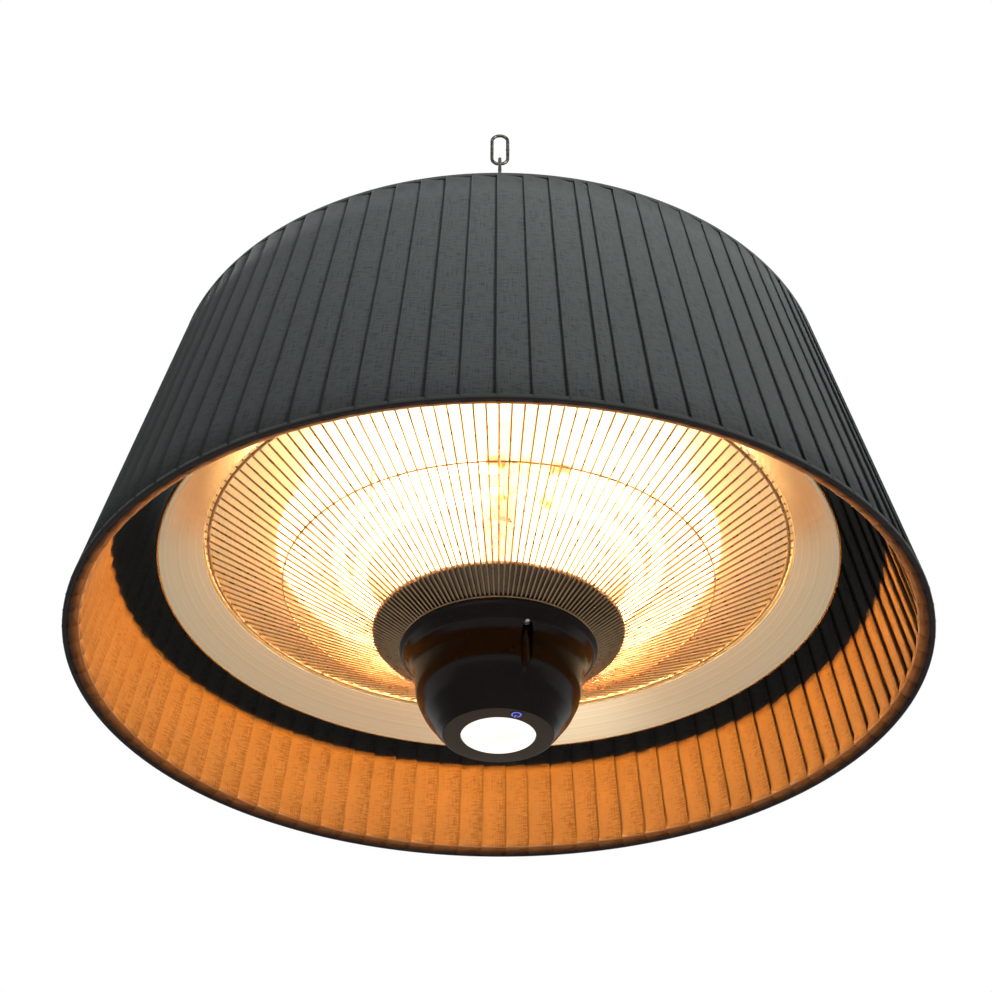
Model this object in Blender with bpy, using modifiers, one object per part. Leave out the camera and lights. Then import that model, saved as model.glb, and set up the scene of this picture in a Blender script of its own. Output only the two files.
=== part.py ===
"""A hanging electric patio heater: a chain, a pleated fabric shade, a round reflector with two ring lamps,
a wire guard, and a control housing with a lamp lens and a power button.

The origin is the point where the top link bears on the hook that holds it. +Z is up, and the front is
towards -Y. Everything below the chain is one swinging body, whose heights are measured upwards from the
lower edge of the shade.
"""

import math

import bmesh
import bpy
from mathutils import Matrix, Vector

# Fits between neighbours, in metres
REST_GAP = 0.0003
FUSED_DEPTH = 0.001
OVERRUN = 0.004
WELD_DISTANCE = 0.00001

# Chain
LINK_COUNT = 9
LINK_WIRE = 0.003
LINK_INNER_LENGTH = 0.034
LINK_INNER_WIDTH = 0.011

# Eye bolt, its washer and its nut
EYE_WIRE = 0.005
EYE_INNER_DIAMETER = 0.013
EYE_COLLAR_DIAMETER = 0.018
EYE_COLLAR_HEIGHT = 0.005
EYE_SHANK_DIAMETER = 0.008
EYE_SHANK_TAIL = 0.0025
EYE_WASHER_DIAMETER = 0.017
EYE_WASHER_THICKNESS = 0.0016
EYE_NUT_DIAMETER = 0.015
EYE_NUT_HEIGHT = 0.0065

# Shade
SHADE_BOTTOM_DIAMETER = 0.600
SHADE_TOP_DIAMETER = 0.500
SHADE_HEIGHT = 0.237
PLEAT_COUNT = 92
PLEAT_STEP = 0.0035
FABRIC_THICKNESS = 0.0012
BINDING_HEIGHT = 0.003
BINDING_WIDTH = 0.0085
FRAME_WIRE = 0.004
ARM_WIRE = 0.005
ARM_COUNT = 3
HUB_DIAMETER = 0.044
HUB_THICKNESS = 0.003
TOP_RING_DROP = 0.006
# One pleat takes this share of a turn for its fold, and the seam's pleat is narrower than the rest.
FOLD_SHARE = 0.08
SEAM_PLEAT_SHARE = 0.55
SEAM_AZIMUTH = math.radians(11.5)

# Hanger stem
STEM_DIAMETER = 0.032
STEM_WALL = 0.002
STEM_CAP_THICKNESS = 0.004
STEM_FOOT_DIAMETER = 0.070
STEM_FOOT_THICKNESS = 0.003
STEM_SCREW_X = 0.025

# Screws
SCREW_DIAMETER = 0.004
SCREW_HEAD_DIAMETER = 0.007
SCREW_HEAD_HEIGHT = 0.0025
SCREW_TAIL = 0.002

# Reflector
BRIM_DIAMETER = 0.490
BRIM_HEIGHT = 0.074
BRIM_LIP_HEIGHT = 0.006
BRIM_RISE = 0.0178
BRIM_WIDTH = 0.0305
DISH_DIAMETER = 0.324
DISH_EDGE_HEIGHT = 0.0988
DISH_DEPTH = 0.0277
DISH_CEILING_DIAMETER = 0.184
SHEET_THICKNESS = 0.001
# Points of the dish's wall: share of the way out from the ceiling's edge, share of the depth.
DISH_WALL_SHARES = ((0.95, 0.19), (0.83, 0.50), (0.56, 0.83), (0.0, 1.0))

# Top cover and the bracket under it
COVER_HEIGHT = 0.160
COVER_DIAMETER = 0.340
COVER_FLANGE_WIDTH = 0.012
COVER_TOP_DIAMETER = 0.290
COVER_SHOULDER_HEIGHT = 0.016
# Points of the cover's rounded shoulder: share of the way in, share of the way up.
COVER_SHOULDER_SHARES = ((0.25, 0.75),)
BRACKET_THICKNESS = 0.002
BRACKET_WIDTH = 0.040
BRACKET_SPAN = 0.124
BRACKET_FOOT_LENGTH = 0.024

# Ring lamps
LAMP_TUBE_DIAMETER = 0.010
LAMP_TUBE_WALL = 0.0008
OUTER_LAMP_DIAMETER = 0.234
OUTER_LAMP_HEIGHT = 0.094
LAMP_SPACING = 0.0165
INNER_LAMP_HEIGHT = 0.080
LAMP_GAP_ANGLE = math.radians(28)
LAMP_GAP_AZIMUTH = math.radians(9.5)
LAMP_CAP_DIAMETER = 0.012
LAMP_CAP_LENGTH = 0.014
FILAMENT_DIAMETER = 0.0022
CLIP_WIRE = 0.002
# Places of the clips, as shares of the lamps' turn.
CLIP_SHARES = (0.125, 0.5, 0.875)
LEAD_WIRE = 0.0014
LEAD_SPREAD = 0.002
LEAD_REACH = 0.010
BUSHING_AZIMUTH = math.radians(14)
BUSHING_CENTRE_RADIUS = 0.075
BUSHING_DIAMETER = 0.010
BUSHING_FLANGE_DIAMETER = 0.015
BUSHING_FLANGE_THICKNESS = 0.002
BUSHING_TOP = 0.006

# Wire guard
GUARD_WIRE_COUNT = 144
GUARD_WIRE = 0.0015
GUARD_OUTER_RING_WIRE = 0.0025
GUARD_MIDDLE_RING_WIRE = 0.0015
GUARD_INNER_RING_WIRE = 0.002
GUARD_OUTER_RING_DIAMETER = 0.421
GUARD_MIDDLE_RING_DIAMETER = 0.311
GUARD_INNER_RING_DIAMETER = 0.1376
GUARD_RISE = 0.0744
GUARD_SEAT_WIDTH = 0.0033

# Centre column and heat shield
COLUMN_DIAMETER = 0.024
COLUMN_WALL = 0.0015
COLUMN_COLLAR_DIAMETER = 0.034
COLUMN_COLLAR_THICKNESS = 0.002
COLUMN_END = 0.002
COLUMN_NUT_DIAMETER = 0.038
COLUMN_NUT_HEIGHT = 0.005
SHIELD_DIAMETER = 0.178
SHIELD_LIP_HEIGHT = 0.0027
SHIELD_THICKNESS = 0.0008
SHIELD_FLAT_DIAMETER = 0.128

# Control housing
HOUSING_RIM_DIAMETER = 0.140
HOUSING_FACE_DIAMETER = 0.076
HOUSING_RIM_HEIGHT = 0.0183
HOUSING_DROP = 0.049
HOUSING_WALL = 0.002
# Outline of the bowl from its rim down: share of the radius between face and rim, share of the height.
BOWL_SHARES = (
    (1.0, 1.0),
    (1.0, 0.975),
    (0.906, 0.951),
    (0.766, 0.847),
    (0.672, 0.728),
    (0.644, 0.609),
    (0.594, 0.416),
    (0.4125, 0.2526),
    (0.15, 0.0847),
    (0.0, 0.0),
)
POCKET_COUNT = 3
POCKET_DIAMETER = 0.0082
POCKET_WALL = 0.0015
POCKET_CENTRE_RADIUS = 0.0585
POCKET_TOP_DROP = 0.0087
POCKET_AZIMUTH = math.radians(19)
LID_DIAMETER = 0.128
LID_THICKNESS = 0.0015
LID_DROP = 0.0007
LID_BOSS_DIAMETER = 0.040
LID_BOSS_HEIGHT = 0.0032

# Boards and what they carry
BOARD_THICKNESS = 0.0016
CONTROL_BOARD_DIAMETER = 0.100
SPACER_DIAMETER = 0.006
SPACER_HEIGHT = 0.0165
SPACER_CENTRE_RADIUS = 0.040
RELAY_LENGTH = 0.019
RELAY_WIDTH = 0.015
RELAY_HEIGHT = 0.015
RELAY_SPACING = 0.022
MODULE_LENGTH = 0.034
MODULE_WIDTH = 0.020
MODULE_HEIGHT = 0.014
COMPONENT_OFFSET = 0.016
COMPONENT_EDGE = 0.0008

# Lamp lens, lamp board and power button
LENS_DIAMETER = 0.0508
LENS_FLANGE_DIAMETER = 0.0544
LENS_FLANGE_THICKNESS = 0.0012
LENS_SKIRT_HEIGHT = 0.0055
LENS_SKIRT_WALL = 0.0012
LENS_PROUD = 0.0004
LAMP_BOARD_TAB_WIDTH = 0.012
LAMP_BOARD_TAB_REACH = 0.038
DIODE_COUNT = 6
DIODE_SIDE = 0.003
DIODE_HEIGHT = 0.001
DIODE_CENTRE_RADIUS = 0.014
BUTTON_DIAMETER = 0.009
BUTTON_HEIGHT = 0.0044
BUTTON_PROUD = 0.0003
BUTTON_CENTRE_RADIUS = 0.0322
BUTTON_AZIMUTH = math.radians(22)
BUTTON_STEM_DIAMETER = 0.0024
BUTTON_STEM_LENGTH = 0.0029
SYMBOL_DIAMETER = 0.007
SYMBOL_LINE = 0.001
SYMBOL_DEPTH = 0.0009
SYMBOL_PROUD = 0.0001
SYMBOL_GAP = 0.00015
SYMBOL_OPENING = math.radians(62)
SYMBOL_BAR_LENGTH = 0.003
SWITCH_SIDE = 0.006
SWITCH_HEIGHT = 0.0035
SWITCH_BORE_DEPTH = 0.0029

# Wiring and safety parts on the reflector's back
TERMINAL_LENGTH = 0.040
TERMINAL_WIDTH = 0.022
TERMINAL_HEIGHT = 0.016
TERMINAL_Y = 0.047
CUTOUT_DIAMETER = 0.016
CUTOUT_HEIGHT = 0.008
CUTOUT_Y = 0.045
LOOM_DIAMETER = 0.007
LOOM_RISE = 0.0095
# Where the loom bends over and where it turns down, as shares of its way to the terminal block.
LOOM_BEND_SHARE = 0.25
LOOM_TURN_SHARE = 0.5
# Where the lamps' branch comes level, as a share of its bushing's distance from the axis.
BRANCH_LEVEL_SHARE = 0.5
BRANCH_DIAMETER = 0.005
GLAND_Y = 0.095
GLAND_BORE_DIAMETER = 0.009
GLAND_THREAD_DIAMETER = 0.018
GLAND_FLANGE_DIAMETER = 0.027
GLAND_FLANGE_THICKNESS = 0.006
GLAND_DOME_DIAMETER = 0.021
GLAND_DOME_HEIGHT = 0.014
GLAND_TAIL = 0.008
GLAND_NUT_THICKNESS = 0.004

# Facets round a full turn
FINE_TURN = 36
PLAIN_TURN = 28
MEDIUM_TURN = 24
SMALL_TURN = 14
SCREW_TURN = 8
RING_TURN = 48
LAMP_STEPS = 24
TUBE_SIDES = 6
GUARD_SIDES = 3
HOOP_SIDES = 4
NUT_SIDES = 6
LINK_ARC_STEPS = 6
HOOK_ARC_STEPS = 4
LEAD_STEPS = 5
SYMBOL_STEPS = 8
LOOM_STEPS = 2
BRANCH_STEPS = 3
HOLE_TWIST = math.radians(7)
SHARP_EDGE = math.radians(35)

# Heights of the chain, from the hook down
LINK_PITCH = LINK_INNER_LENGTH - REST_GAP
SWING_Z = -(LINK_COUNT - 1) * LINK_PITCH - LINK_INNER_LENGTH - LINK_WIRE / 2

# Heights of the heater's pieces above the shade's lower edge
HUB_HEIGHT = SHADE_HEIGHT - TOP_RING_DROP
COLLAR_BOTTOM = HUB_HEIGHT + HUB_THICKNESS / 2 + REST_GAP
EYE_OUTER_RADIUS = EYE_INNER_DIAMETER / 2 + EYE_WIRE
EYE_HEIGHT = COLLAR_BOTTOM + EYE_COLLAR_HEIGHT - FUSED_DEPTH + EYE_OUTER_RADIUS
SWING_HEIGHT = EYE_HEIGHT + EYE_INNER_DIAMETER / 2 - REST_GAP - LINK_WIRE / 2
STEM_TOP = HUB_HEIGHT - HUB_THICKNESS / 2 - REST_GAP
STEM_BOTTOM = COVER_HEIGHT + REST_GAP
CAP_UNDERSIDE = STEM_TOP - STEM_CAP_THICKNESS
WASHER_TOP = CAP_UNDERSIDE - REST_GAP
NUT_TOP = WASHER_TOP - EYE_WASHER_THICKNESS - REST_GAP
SHANK_END = NUT_TOP - EYE_NUT_HEIGHT - EYE_SHANK_TAIL

INNER_LAMP_DIAMETER = OUTER_LAMP_DIAMETER - 2 * LAMP_SPACING
GUARD_SLOPE = GUARD_RISE / ((GUARD_OUTER_RING_DIAMETER - GUARD_INNER_RING_DIAMETER) / 2)
GUARD_STRETCH = math.hypot(1.0, GUARD_SLOPE)
GUARD_RING_OFFSET = GUARD_WIRE / 2 + REST_GAP
GUARD_START = HOUSING_RIM_HEIGHT + REST_GAP + GUARD_INNER_RING_WIRE / 2

DISH_CEILING_HEIGHT = DISH_EDGE_HEIGHT + DISH_DEPTH
BACK_HEIGHT = DISH_CEILING_HEIGHT + SHEET_THICKNESS + REST_GAP
BRIM_INNER_HEIGHT = BRIM_HEIGHT + BRIM_RISE
BRIM_INNER_RADIUS = BRIM_DIAMETER / 2 - BRIM_WIDTH
HOUSING_FLOOR = -HOUSING_DROP
LID_TOP = HOUSING_RIM_HEIGHT - LID_DROP
LID_BOTTOM = LID_TOP - LID_THICKNESS
SHIELD_HEIGHT = LID_TOP + LID_BOSS_HEIGHT + REST_GAP
LENS_SEAT = HOUSING_FLOOR + HOUSING_WALL + REST_GAP
LAMP_BOARD_HEIGHT = LENS_SEAT + LENS_FLANGE_THICKNESS + LENS_SKIRT_HEIGHT + REST_GAP
CONTROL_BOARD_TOP = LID_BOTTOM - SPACER_HEIGHT - REST_GAP
BUSHING_PLACE = (
    BUSHING_CENTRE_RADIUS * math.sin(BUSHING_AZIMUTH),
    -BUSHING_CENTRE_RADIUS * math.cos(BUSHING_AZIMUTH),
)


def guard_height(radius):
    """Height of a guard wire's centre line at a radius."""
    return GUARD_START + GUARD_SLOPE * (radius - GUARD_INNER_RING_DIAMETER / 2)


def shade_radius(height):
    """Outer radius of the shade at a height above its lower edge."""
    taper = (SHADE_BOTTOM_DIAMETER - SHADE_TOP_DIAMETER) / 2 / SHADE_HEIGHT
    return SHADE_BOTTOM_DIAMETER / 2 - taper * height


def fabric_inner_radius(height):
    """Radius that is clear inside the pleats at a height, between two folds."""
    share_of_depth = (PLEAT_STEP + FABRIC_THICKNESS) / (SHADE_BOTTOM_DIAMETER / 2)
    return shade_radius(height) * (1 - share_of_depth) * math.cos(math.pi / PLEAT_COUNT)


def around(radius, azimuth, height=0.0):
    """A point at an azimuth counted from the front towards +X."""
    return Vector((radius * math.sin(azimuth), -radius * math.cos(azimuth), height))


# Collections, materials and the empties that carry the moving pieces


def new_collection(name):
    made = bpy.data.collections.new(name)
    bpy.context.scene.collection.children.link(made)
    return made


def finish(name, colour, roughness, metallic=0.0):
    """A material with one colour."""
    made = bpy.data.materials.new(name)
    made.use_nodes = True
    shader = made.node_tree.nodes["Principled BSDF"]
    shader.inputs["Base Color"].default_value = (*colour, 1.0)
    shader.inputs["Roughness"].default_value = roughness
    shader.inputs["Metallic"].default_value = metallic
    made.diffuse_color = (*colour, 1.0)
    return made


for old in list(bpy.data.objects):
    bpy.data.objects.remove(old, do_unlink=True)

PARTS = new_collection("hanging_patio_heater")
CUTTERS = new_collection("cutters")

BLACK_STEEL = (0.03, 0.03, 0.032)
BRIGHT_STEEL = (0.62, 0.62, 0.63)
CERAMIC_WHITE = (0.85, 0.82, 0.76)
ALUMINIUM = (0.78, 0.72, 0.64)


def carrier(name, height, parent=None):
    """An empty on the axis of a joint."""
    made = bpy.data.objects.new(name, None)
    made.location = (0, 0, height)
    made.parent = parent
    PARTS.objects.link(made)
    return made


HEATER = carrier("heater_swing", SWING_Z)


def hang(obj, height=0.0, place=(0, 0)):
    """Puts an object on the heater, with its origin at a height above the shade's lower edge."""
    obj.parent = HEATER
    obj.location = (place[0], place[1], height - SWING_HEIGHT)
    return obj


def add(name, data, look, parts=PARTS):
    obj = bpy.data.objects.new(name, data)
    if look is not None:
        data.materials.append(look)
    parts.objects.link(obj)
    return obj


def as_cutter(obj):
    obj.hide_render = True
    obj.display_type = "WIRE"
    return obj


# Tools that make the shapes


def mesh_of(name, bm):
    """Ends a bmesh as a closed mesh with its faces pointing out."""
    bmesh.ops.remove_doubles(bm, verts=bm.verts, dist=WELD_DISTANCE)
    bmesh.ops.recalc_face_normals(bm, faces=bm.faces)
    data = bpy.data.meshes.new(name)
    bm.to_mesh(data)
    bm.free()
    data.shade_smooth()
    data.set_sharp_from_angle(angle=SHARP_EDGE)
    return data


def turned(name, outline, look, steps=PLAIN_TURN, sheet=0.0, parts=PARTS):
    """Turns an outline of (radius, height) about Z. An outline with a sheet thickness is an open surface."""
    data = bpy.data.meshes.new(name)
    closed = not sheet and min(radius for radius, _ in outline) > 0
    points = [(radius, 0, height) for radius, height in outline]
    last = len(points) if closed else len(points) - 1
    edges = [(i, (i + 1) % len(points)) for i in range(last)]
    data.from_pydata(points, edges, [])
    obj = add(name, data, look, parts)
    screw = obj.modifiers.new("turn", "SCREW")
    screw.steps = screw.render_steps = steps
    screw.use_merge_vertices = True
    screw.merge_threshold = WELD_DISTANCE
    screw.use_smooth_shade = True
    if sheet:
        wall = obj.modifiers.new("sheet", "SOLIDIFY")
        wall.thickness = sheet
        wall.offset = -1
        wall.use_even_offset = True
    return obj


def hoop(name, diameter, thickness, look, steps=RING_TURN, sides=HOOP_SIDES, parts=PARTS):
    """A ring of wire about Z, in the plane of its origin. Its flat sides lie at the wire's thickness."""
    corner = thickness / 2 / math.cos(math.pi / sides)
    first = 0.0 if sides % 4 else math.pi / sides
    outline = []
    for side in range(sides):
        angle = first + math.tau * side / sides
        outline.append((diameter / 2 + corner * math.sin(angle), corner * math.cos(angle)))
    return turned(name, outline, look, steps, parts=parts)


def box(bm, size, centre):
    made = bmesh.ops.create_cube(bm, size=1.0)
    bmesh.ops.scale(bm, vec=size, verts=made["verts"])
    bmesh.ops.translate(bm, vec=centre, verts=made["verts"])


def rod(bm, start, end, diameter, sides, twist=0.0):
    """A capped cylinder between two points."""
    start, end = Vector(start), Vector(end)
    turn = (end - start).to_track_quat("Z", "Y").to_matrix().to_4x4() @ Matrix.Rotation(twist, 4, "Z")
    bmesh.ops.create_cone(
        bm,
        cap_ends=True,
        segments=sides,
        radius1=diameter / 2,
        radius2=diameter / 2,
        depth=(end - start).length,
        matrix=Matrix.Translation((start + end) / 2) @ turn,
    )


def solid(name, look, shapes, parts=PARTS):
    """One object from functions that each add a shape to a bmesh."""
    bm = bmesh.new()
    for shape in shapes:
        shape(bm)
    return add(name, mesh_of(name, bm), look, parts)


def wire(name, runs, diameter, look, cyclic=False, resolution=1):
    """Tubes along runs of points, as one curve object."""
    data = bpy.data.curves.new(name, "CURVE")
    data.dimensions = "3D"
    data.bevel_depth = diameter / 2
    data.bevel_resolution = resolution
    data.use_fill_caps = True
    for run in runs:
        spline = data.splines.new("POLY")
        spline.points.add(len(run) - 1)
        for point, place in zip(spline.points, run):
            point.co = (*place, 1)
        spline.use_cyclic_u = cyclic
    return add(name, data, look)


def as_mesh(curve):
    """The same shape as a mesh object among the cutters."""
    graph = bpy.context.evaluated_depsgraph_get()
    bm = bmesh.new()
    bm.from_mesh(bpy.data.meshes.new_from_object(curve.evaluated_get(graph)))
    bmesh.ops.transform(bm, matrix=curve.matrix_world, verts=bm.verts)
    name = curve.name
    bpy.data.objects.remove(curve, do_unlink=True)
    return add(name, mesh_of(name, bm), None, CUTTERS)


def cut(obj, tool, operation="DIFFERENCE"):
    made = obj.modifiers.new(tool.name, "BOOLEAN")
    made.operation = operation
    made.solver = "EXACT"
    made.object = tool
    return obj


def holes(name, places, diameter, low, high, sides=SCREW_TURN):
    """Upright cylinders that cut holes at places of (x, y). They are turned off the edges of what they cut."""
    start, stop = low - OVERRUN, high + OVERRUN
    shapes = [
        lambda bm, x=x, y=y: rod(bm, (x, y, start), (x, y, stop), diameter, sides, HOLE_TWIST)
        for x, y in places
    ]
    return hang(as_cutter(solid(name, None, shapes, CUTTERS)))


def screw(name, place, seat, reach, look, downwards=True):
    """A screw at a place (x, y), whose head bears on the height seat and whose shank reaches past it."""
    way = -1 if downwards else 1
    near = seat - way * REST_GAP
    outline = [
        (0, near - way * SCREW_HEAD_HEIGHT),
        (SCREW_HEAD_DIAMETER / 2, near - way * SCREW_HEAD_HEIGHT),
        (SCREW_HEAD_DIAMETER / 2, near),
        (SCREW_DIAMETER / 2, near),
        (SCREW_DIAMETER / 2, seat + way * reach),
        (0, seat + way * reach),
    ]
    if not downwards:
        outline.reverse()
    hang(turned(name, outline, look, SCREW_TURN), 0.0, place)


# Chain


def link_line():
    """Centre line of a link that hangs from height 0, as (across, height)."""
    bend = (LINK_INNER_WIDTH + LINK_WIRE) / 2
    arch = LINK_INNER_WIDTH / 2
    line = []
    for centre, start in ((-arch, 0.0), (arch - LINK_INNER_LENGTH, math.pi)):
        for i in range(LINK_ARC_STEPS + 1):
            angle = start + math.pi * i / LINK_ARC_STEPS
            line.append((bend * math.cos(angle), centre + bend * math.sin(angle)))
    return line


def chain(look):
    """Links that hang in one another, each turned a quarter from the last. Each swings on the one above."""
    for number in range(1, LINK_COUNT + 1):
        top = -(number - 1) * LINK_PITCH
        pivot = 0.0 if number == 1 else top - REST_GAP - LINK_WIRE / 2
        if number % 2:
            run = [(across, 0, top + height - pivot) for across, height in link_line()]
        else:
            run = [(0, across, top + height - pivot) for across, height in link_line()]
        link = wire(f"chain_link_{number}", [run], LINK_WIRE, look, cyclic=True)
        link.location = (0, 0, pivot)


def eye_bolt(look):
    """A forged eye in the Y-Z plane, with a collar and a threaded shank."""
    shank = EYE_SHANK_DIAMETER / 2
    collar = EYE_COLLAR_DIAMETER / 2
    outline = (
        (0, COLLAR_BOTTOM + EYE_COLLAR_HEIGHT),
        (collar, COLLAR_BOTTOM + EYE_COLLAR_HEIGHT),
        (collar, COLLAR_BOTTOM),
        (shank, COLLAR_BOTTOM),
        (shank, SHANK_END),
        (0, SHANK_END),
    )
    bolt = hang(turned("eye_bolt", outline, look, SMALL_TURN))
    across = EYE_INNER_DIAMETER + EYE_WIRE
    eye = hoop("eye_of_the_bolt", across, EYE_WIRE, None, SMALL_TURN, TUBE_SIDES, CUTTERS)
    hang(as_cutter(eye), EYE_HEIGHT)
    eye.rotation_euler.y = math.pi / 2
    cut(bolt, eye, "UNION")


def eye_fasteners(look):
    bore = EYE_SHANK_DIAMETER / 2 + REST_GAP
    for name, diameter, top, height, sides in (
        ("eye_bolt_washer", EYE_WASHER_DIAMETER, WASHER_TOP, EYE_WASHER_THICKNESS, SMALL_TURN),
        ("eye_bolt_nut", EYE_NUT_DIAMETER, NUT_TOP, EYE_NUT_HEIGHT, NUT_SIDES),
    ):
        ends = (0, 0, top), (0, 0, top - height)
        body = hang(solid(name, look, [lambda bm: rod(bm, *ends, diameter, sides)]))
        cut(body, holes(name + "_bore", [(0, 0)], 2 * bore, top - height, top, SMALL_TURN))


def stem_screw_places():
    return [(-STEM_SCREW_X, 0), (STEM_SCREW_X, 0)]


def hanger_stem(look):
    """A tube with a drilled cap for the eye bolt and a foot that is screwed through the cover."""
    outer = STEM_DIAMETER / 2
    bore = EYE_SHANK_DIAMETER / 2 + REST_GAP
    outline = (
        (bore, STEM_TOP),
        (outer, STEM_TOP),
        (outer, STEM_BOTTOM + STEM_FOOT_THICKNESS),
        (STEM_FOOT_DIAMETER / 2, STEM_BOTTOM + STEM_FOOT_THICKNESS),
        (STEM_FOOT_DIAMETER / 2, STEM_BOTTOM),
        (outer - STEM_WALL, STEM_BOTTOM),
        (outer - STEM_WALL, CAP_UNDERSIDE),
        (bore, CAP_UNDERSIDE),
    )
    stem = hang(turned("hanger_stem", outline, look, SMALL_TURN))
    wide = SCREW_DIAMETER + 2 * REST_GAP
    seat = STEM_BOTTOM + STEM_FOOT_THICKNESS
    cut(stem, holes("stem_foot_holes", stem_screw_places(), wide, STEM_BOTTOM, seat))


# Shade


def pleat_angles():
    """Azimuths of the folds: equal steps, but for the narrower pleat at the seam."""
    step = math.tau / (PLEAT_COUNT - 1 + SEAM_PLEAT_SHARE)
    angles = []
    azimuth = SEAM_AZIMUTH
    for pleat in range(PLEAT_COUNT):
        angles.append(azimuth)
        azimuth += step * (SEAM_PLEAT_SHARE if pleat == 0 else 1)
    return angles, step * FOLD_SHARE


def shade_fabric(look):
    """Knife pleats: each pleat slopes inwards to the next fold, where the cloth steps out again."""
    bottom = BINDING_HEIGHT + REST_GAP
    top = SHADE_HEIGHT - BINDING_HEIGHT - REST_GAP
    angles, fold = pleat_angles()
    bm = bmesh.new()
    loops = []
    for inset in (0.0, FABRIC_THICKNESS):
        high = shade_radius(bottom) - inset
        verts = []
        for azimuth in angles:
            verts.append(bm.verts.new(around(high - PLEAT_STEP, azimuth - fold, bottom)))
            verts.append(bm.verts.new(around(high, azimuth, bottom)))
        loops += [bm.edges.new((a, b)) for a, b in zip(verts, verts[1:] + verts[:1])]
    rim = bmesh.ops.bridge_loops(bm, edges=loops)["faces"]
    raised = bmesh.ops.extrude_face_region(bm, geom=rim, use_keep_orig=True)["geom"]
    lifted = [item for item in raised if isinstance(item, bmesh.types.BMVert)]
    narrowing = shade_radius(top) / shade_radius(bottom)
    bmesh.ops.scale(bm, vec=(narrowing, narrowing, 1), verts=lifted)
    bmesh.ops.translate(bm, vec=(0, 0, top - bottom), verts=lifted)
    hang(add("shade_fabric", mesh_of("shade_fabric", bm), look))


def bindings(look):
    """The bound edges of the shade, one along the top and one along the bottom."""
    for name, low in (("shade_bottom_binding", 0.0), ("shade_top_binding", SHADE_HEIGHT - BINDING_HEIGHT)):
        high = low + BINDING_HEIGHT
        outline = (
            (shade_radius(high), high),
            (shade_radius(low), low),
            (shade_radius(low) - BINDING_WIDTH, low),
            (shade_radius(high) - BINDING_WIDTH, high),
        )
        hang(turned(name, outline, look, PLEAT_COUNT // 2))


def shade_frame(look):
    """The hub, three arms and ring that carry the cloth, welded in one, and the loose ring at the bottom."""
    reach = fabric_inner_radius(HUB_HEIGHT + FRAME_WIRE / 2) - REST_GAP - FRAME_WIRE / 2
    bore = EYE_SHANK_DIAMETER / 2 + REST_GAP
    low = HUB_HEIGHT - HUB_THICKNESS / 2
    high = HUB_HEIGHT + HUB_THICKNESS / 2
    hub = HUB_DIAMETER / 2
    outline = ((bore, high), (hub, high), (hub, low), (bore, low))
    frame = hang(turned("shade_top_frame", outline, look, SMALL_TURN))
    inner = hub - 2 * FUSED_DEPTH
    for arm in range(ARM_COUNT):
        azimuth = math.tau * arm / ARM_COUNT
        ends = around(inner, azimuth, HUB_HEIGHT), around(reach, azimuth, HUB_HEIGHT)
        name = f"shade_arm_{arm + 1}"
        tool = solid(name, None, [lambda bm: rod(bm, *ends, ARM_WIRE, TUBE_SIDES)], CUTTERS)
        cut(frame, hang(as_cutter(tool)), "UNION")
    rim = hoop("shade_top_hoop", 2 * reach, FRAME_WIRE, None, PLAIN_TURN, parts=CUTTERS)
    cut(frame, hang(as_cutter(rim), HUB_HEIGHT), "UNION")
    height = BINDING_HEIGHT + REST_GAP + FRAME_WIRE / 2
    clear = fabric_inner_radius(height + FRAME_WIRE / 2) - REST_GAP - FRAME_WIRE / 2
    hang(hoop("shade_bottom_ring", 2 * clear, FRAME_WIRE, look, FINE_TURN), height)


# Heating head


def bracket_screw_places():
    x = (BRACKET_SPAN + BRACKET_FOOT_LENGTH) / 2
    return [(-x, 0), (x, 0)]


def reflector(look):
    """One spun sheet: rolled lip, sloping brim, a step for the guard, a shelf and the dish."""
    seat = GUARD_OUTER_RING_DIAMETER / 2 + GUARD_SEAT_WIDTH
    shelf = guard_height(seat) + GUARD_WIRE / 2 * GUARD_STRETCH + REST_GAP
    ceiling = DISH_CEILING_DIAMETER / 2
    wall = DISH_DIAMETER / 2 - ceiling
    outline = [
        (BRIM_DIAMETER / 2, BRIM_HEIGHT + BRIM_LIP_HEIGHT),
        (BRIM_DIAMETER / 2, BRIM_HEIGHT),
        (BRIM_INNER_RADIUS, BRIM_INNER_HEIGHT),
        (BRIM_INNER_RADIUS, shelf),
        (DISH_DIAMETER / 2, DISH_EDGE_HEIGHT),
    ]
    for out_share, deep_share in DISH_WALL_SHARES:
        outline.append((ceiling + wall * out_share, DISH_EDGE_HEIGHT + DISH_DEPTH * deep_share))
    outline.append((COLUMN_DIAMETER / 2 + REST_GAP, DISH_CEILING_HEIGHT))
    dish = hang(turned("reflector", outline, look, FINE_TURN, SHEET_THICKNESS))
    wide = SCREW_DIAMETER + 2 * REST_GAP
    level = DISH_CEILING_HEIGHT, DISH_CEILING_HEIGHT + SHEET_THICKNESS
    cut(dish, holes("reflector_screw_holes", bracket_screw_places(), wide, *level))
    cut(dish, holes("bushing_hole", [BUSHING_PLACE], BUSHING_DIAMETER + 2 * REST_GAP, *level, SMALL_TURN))


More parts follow.
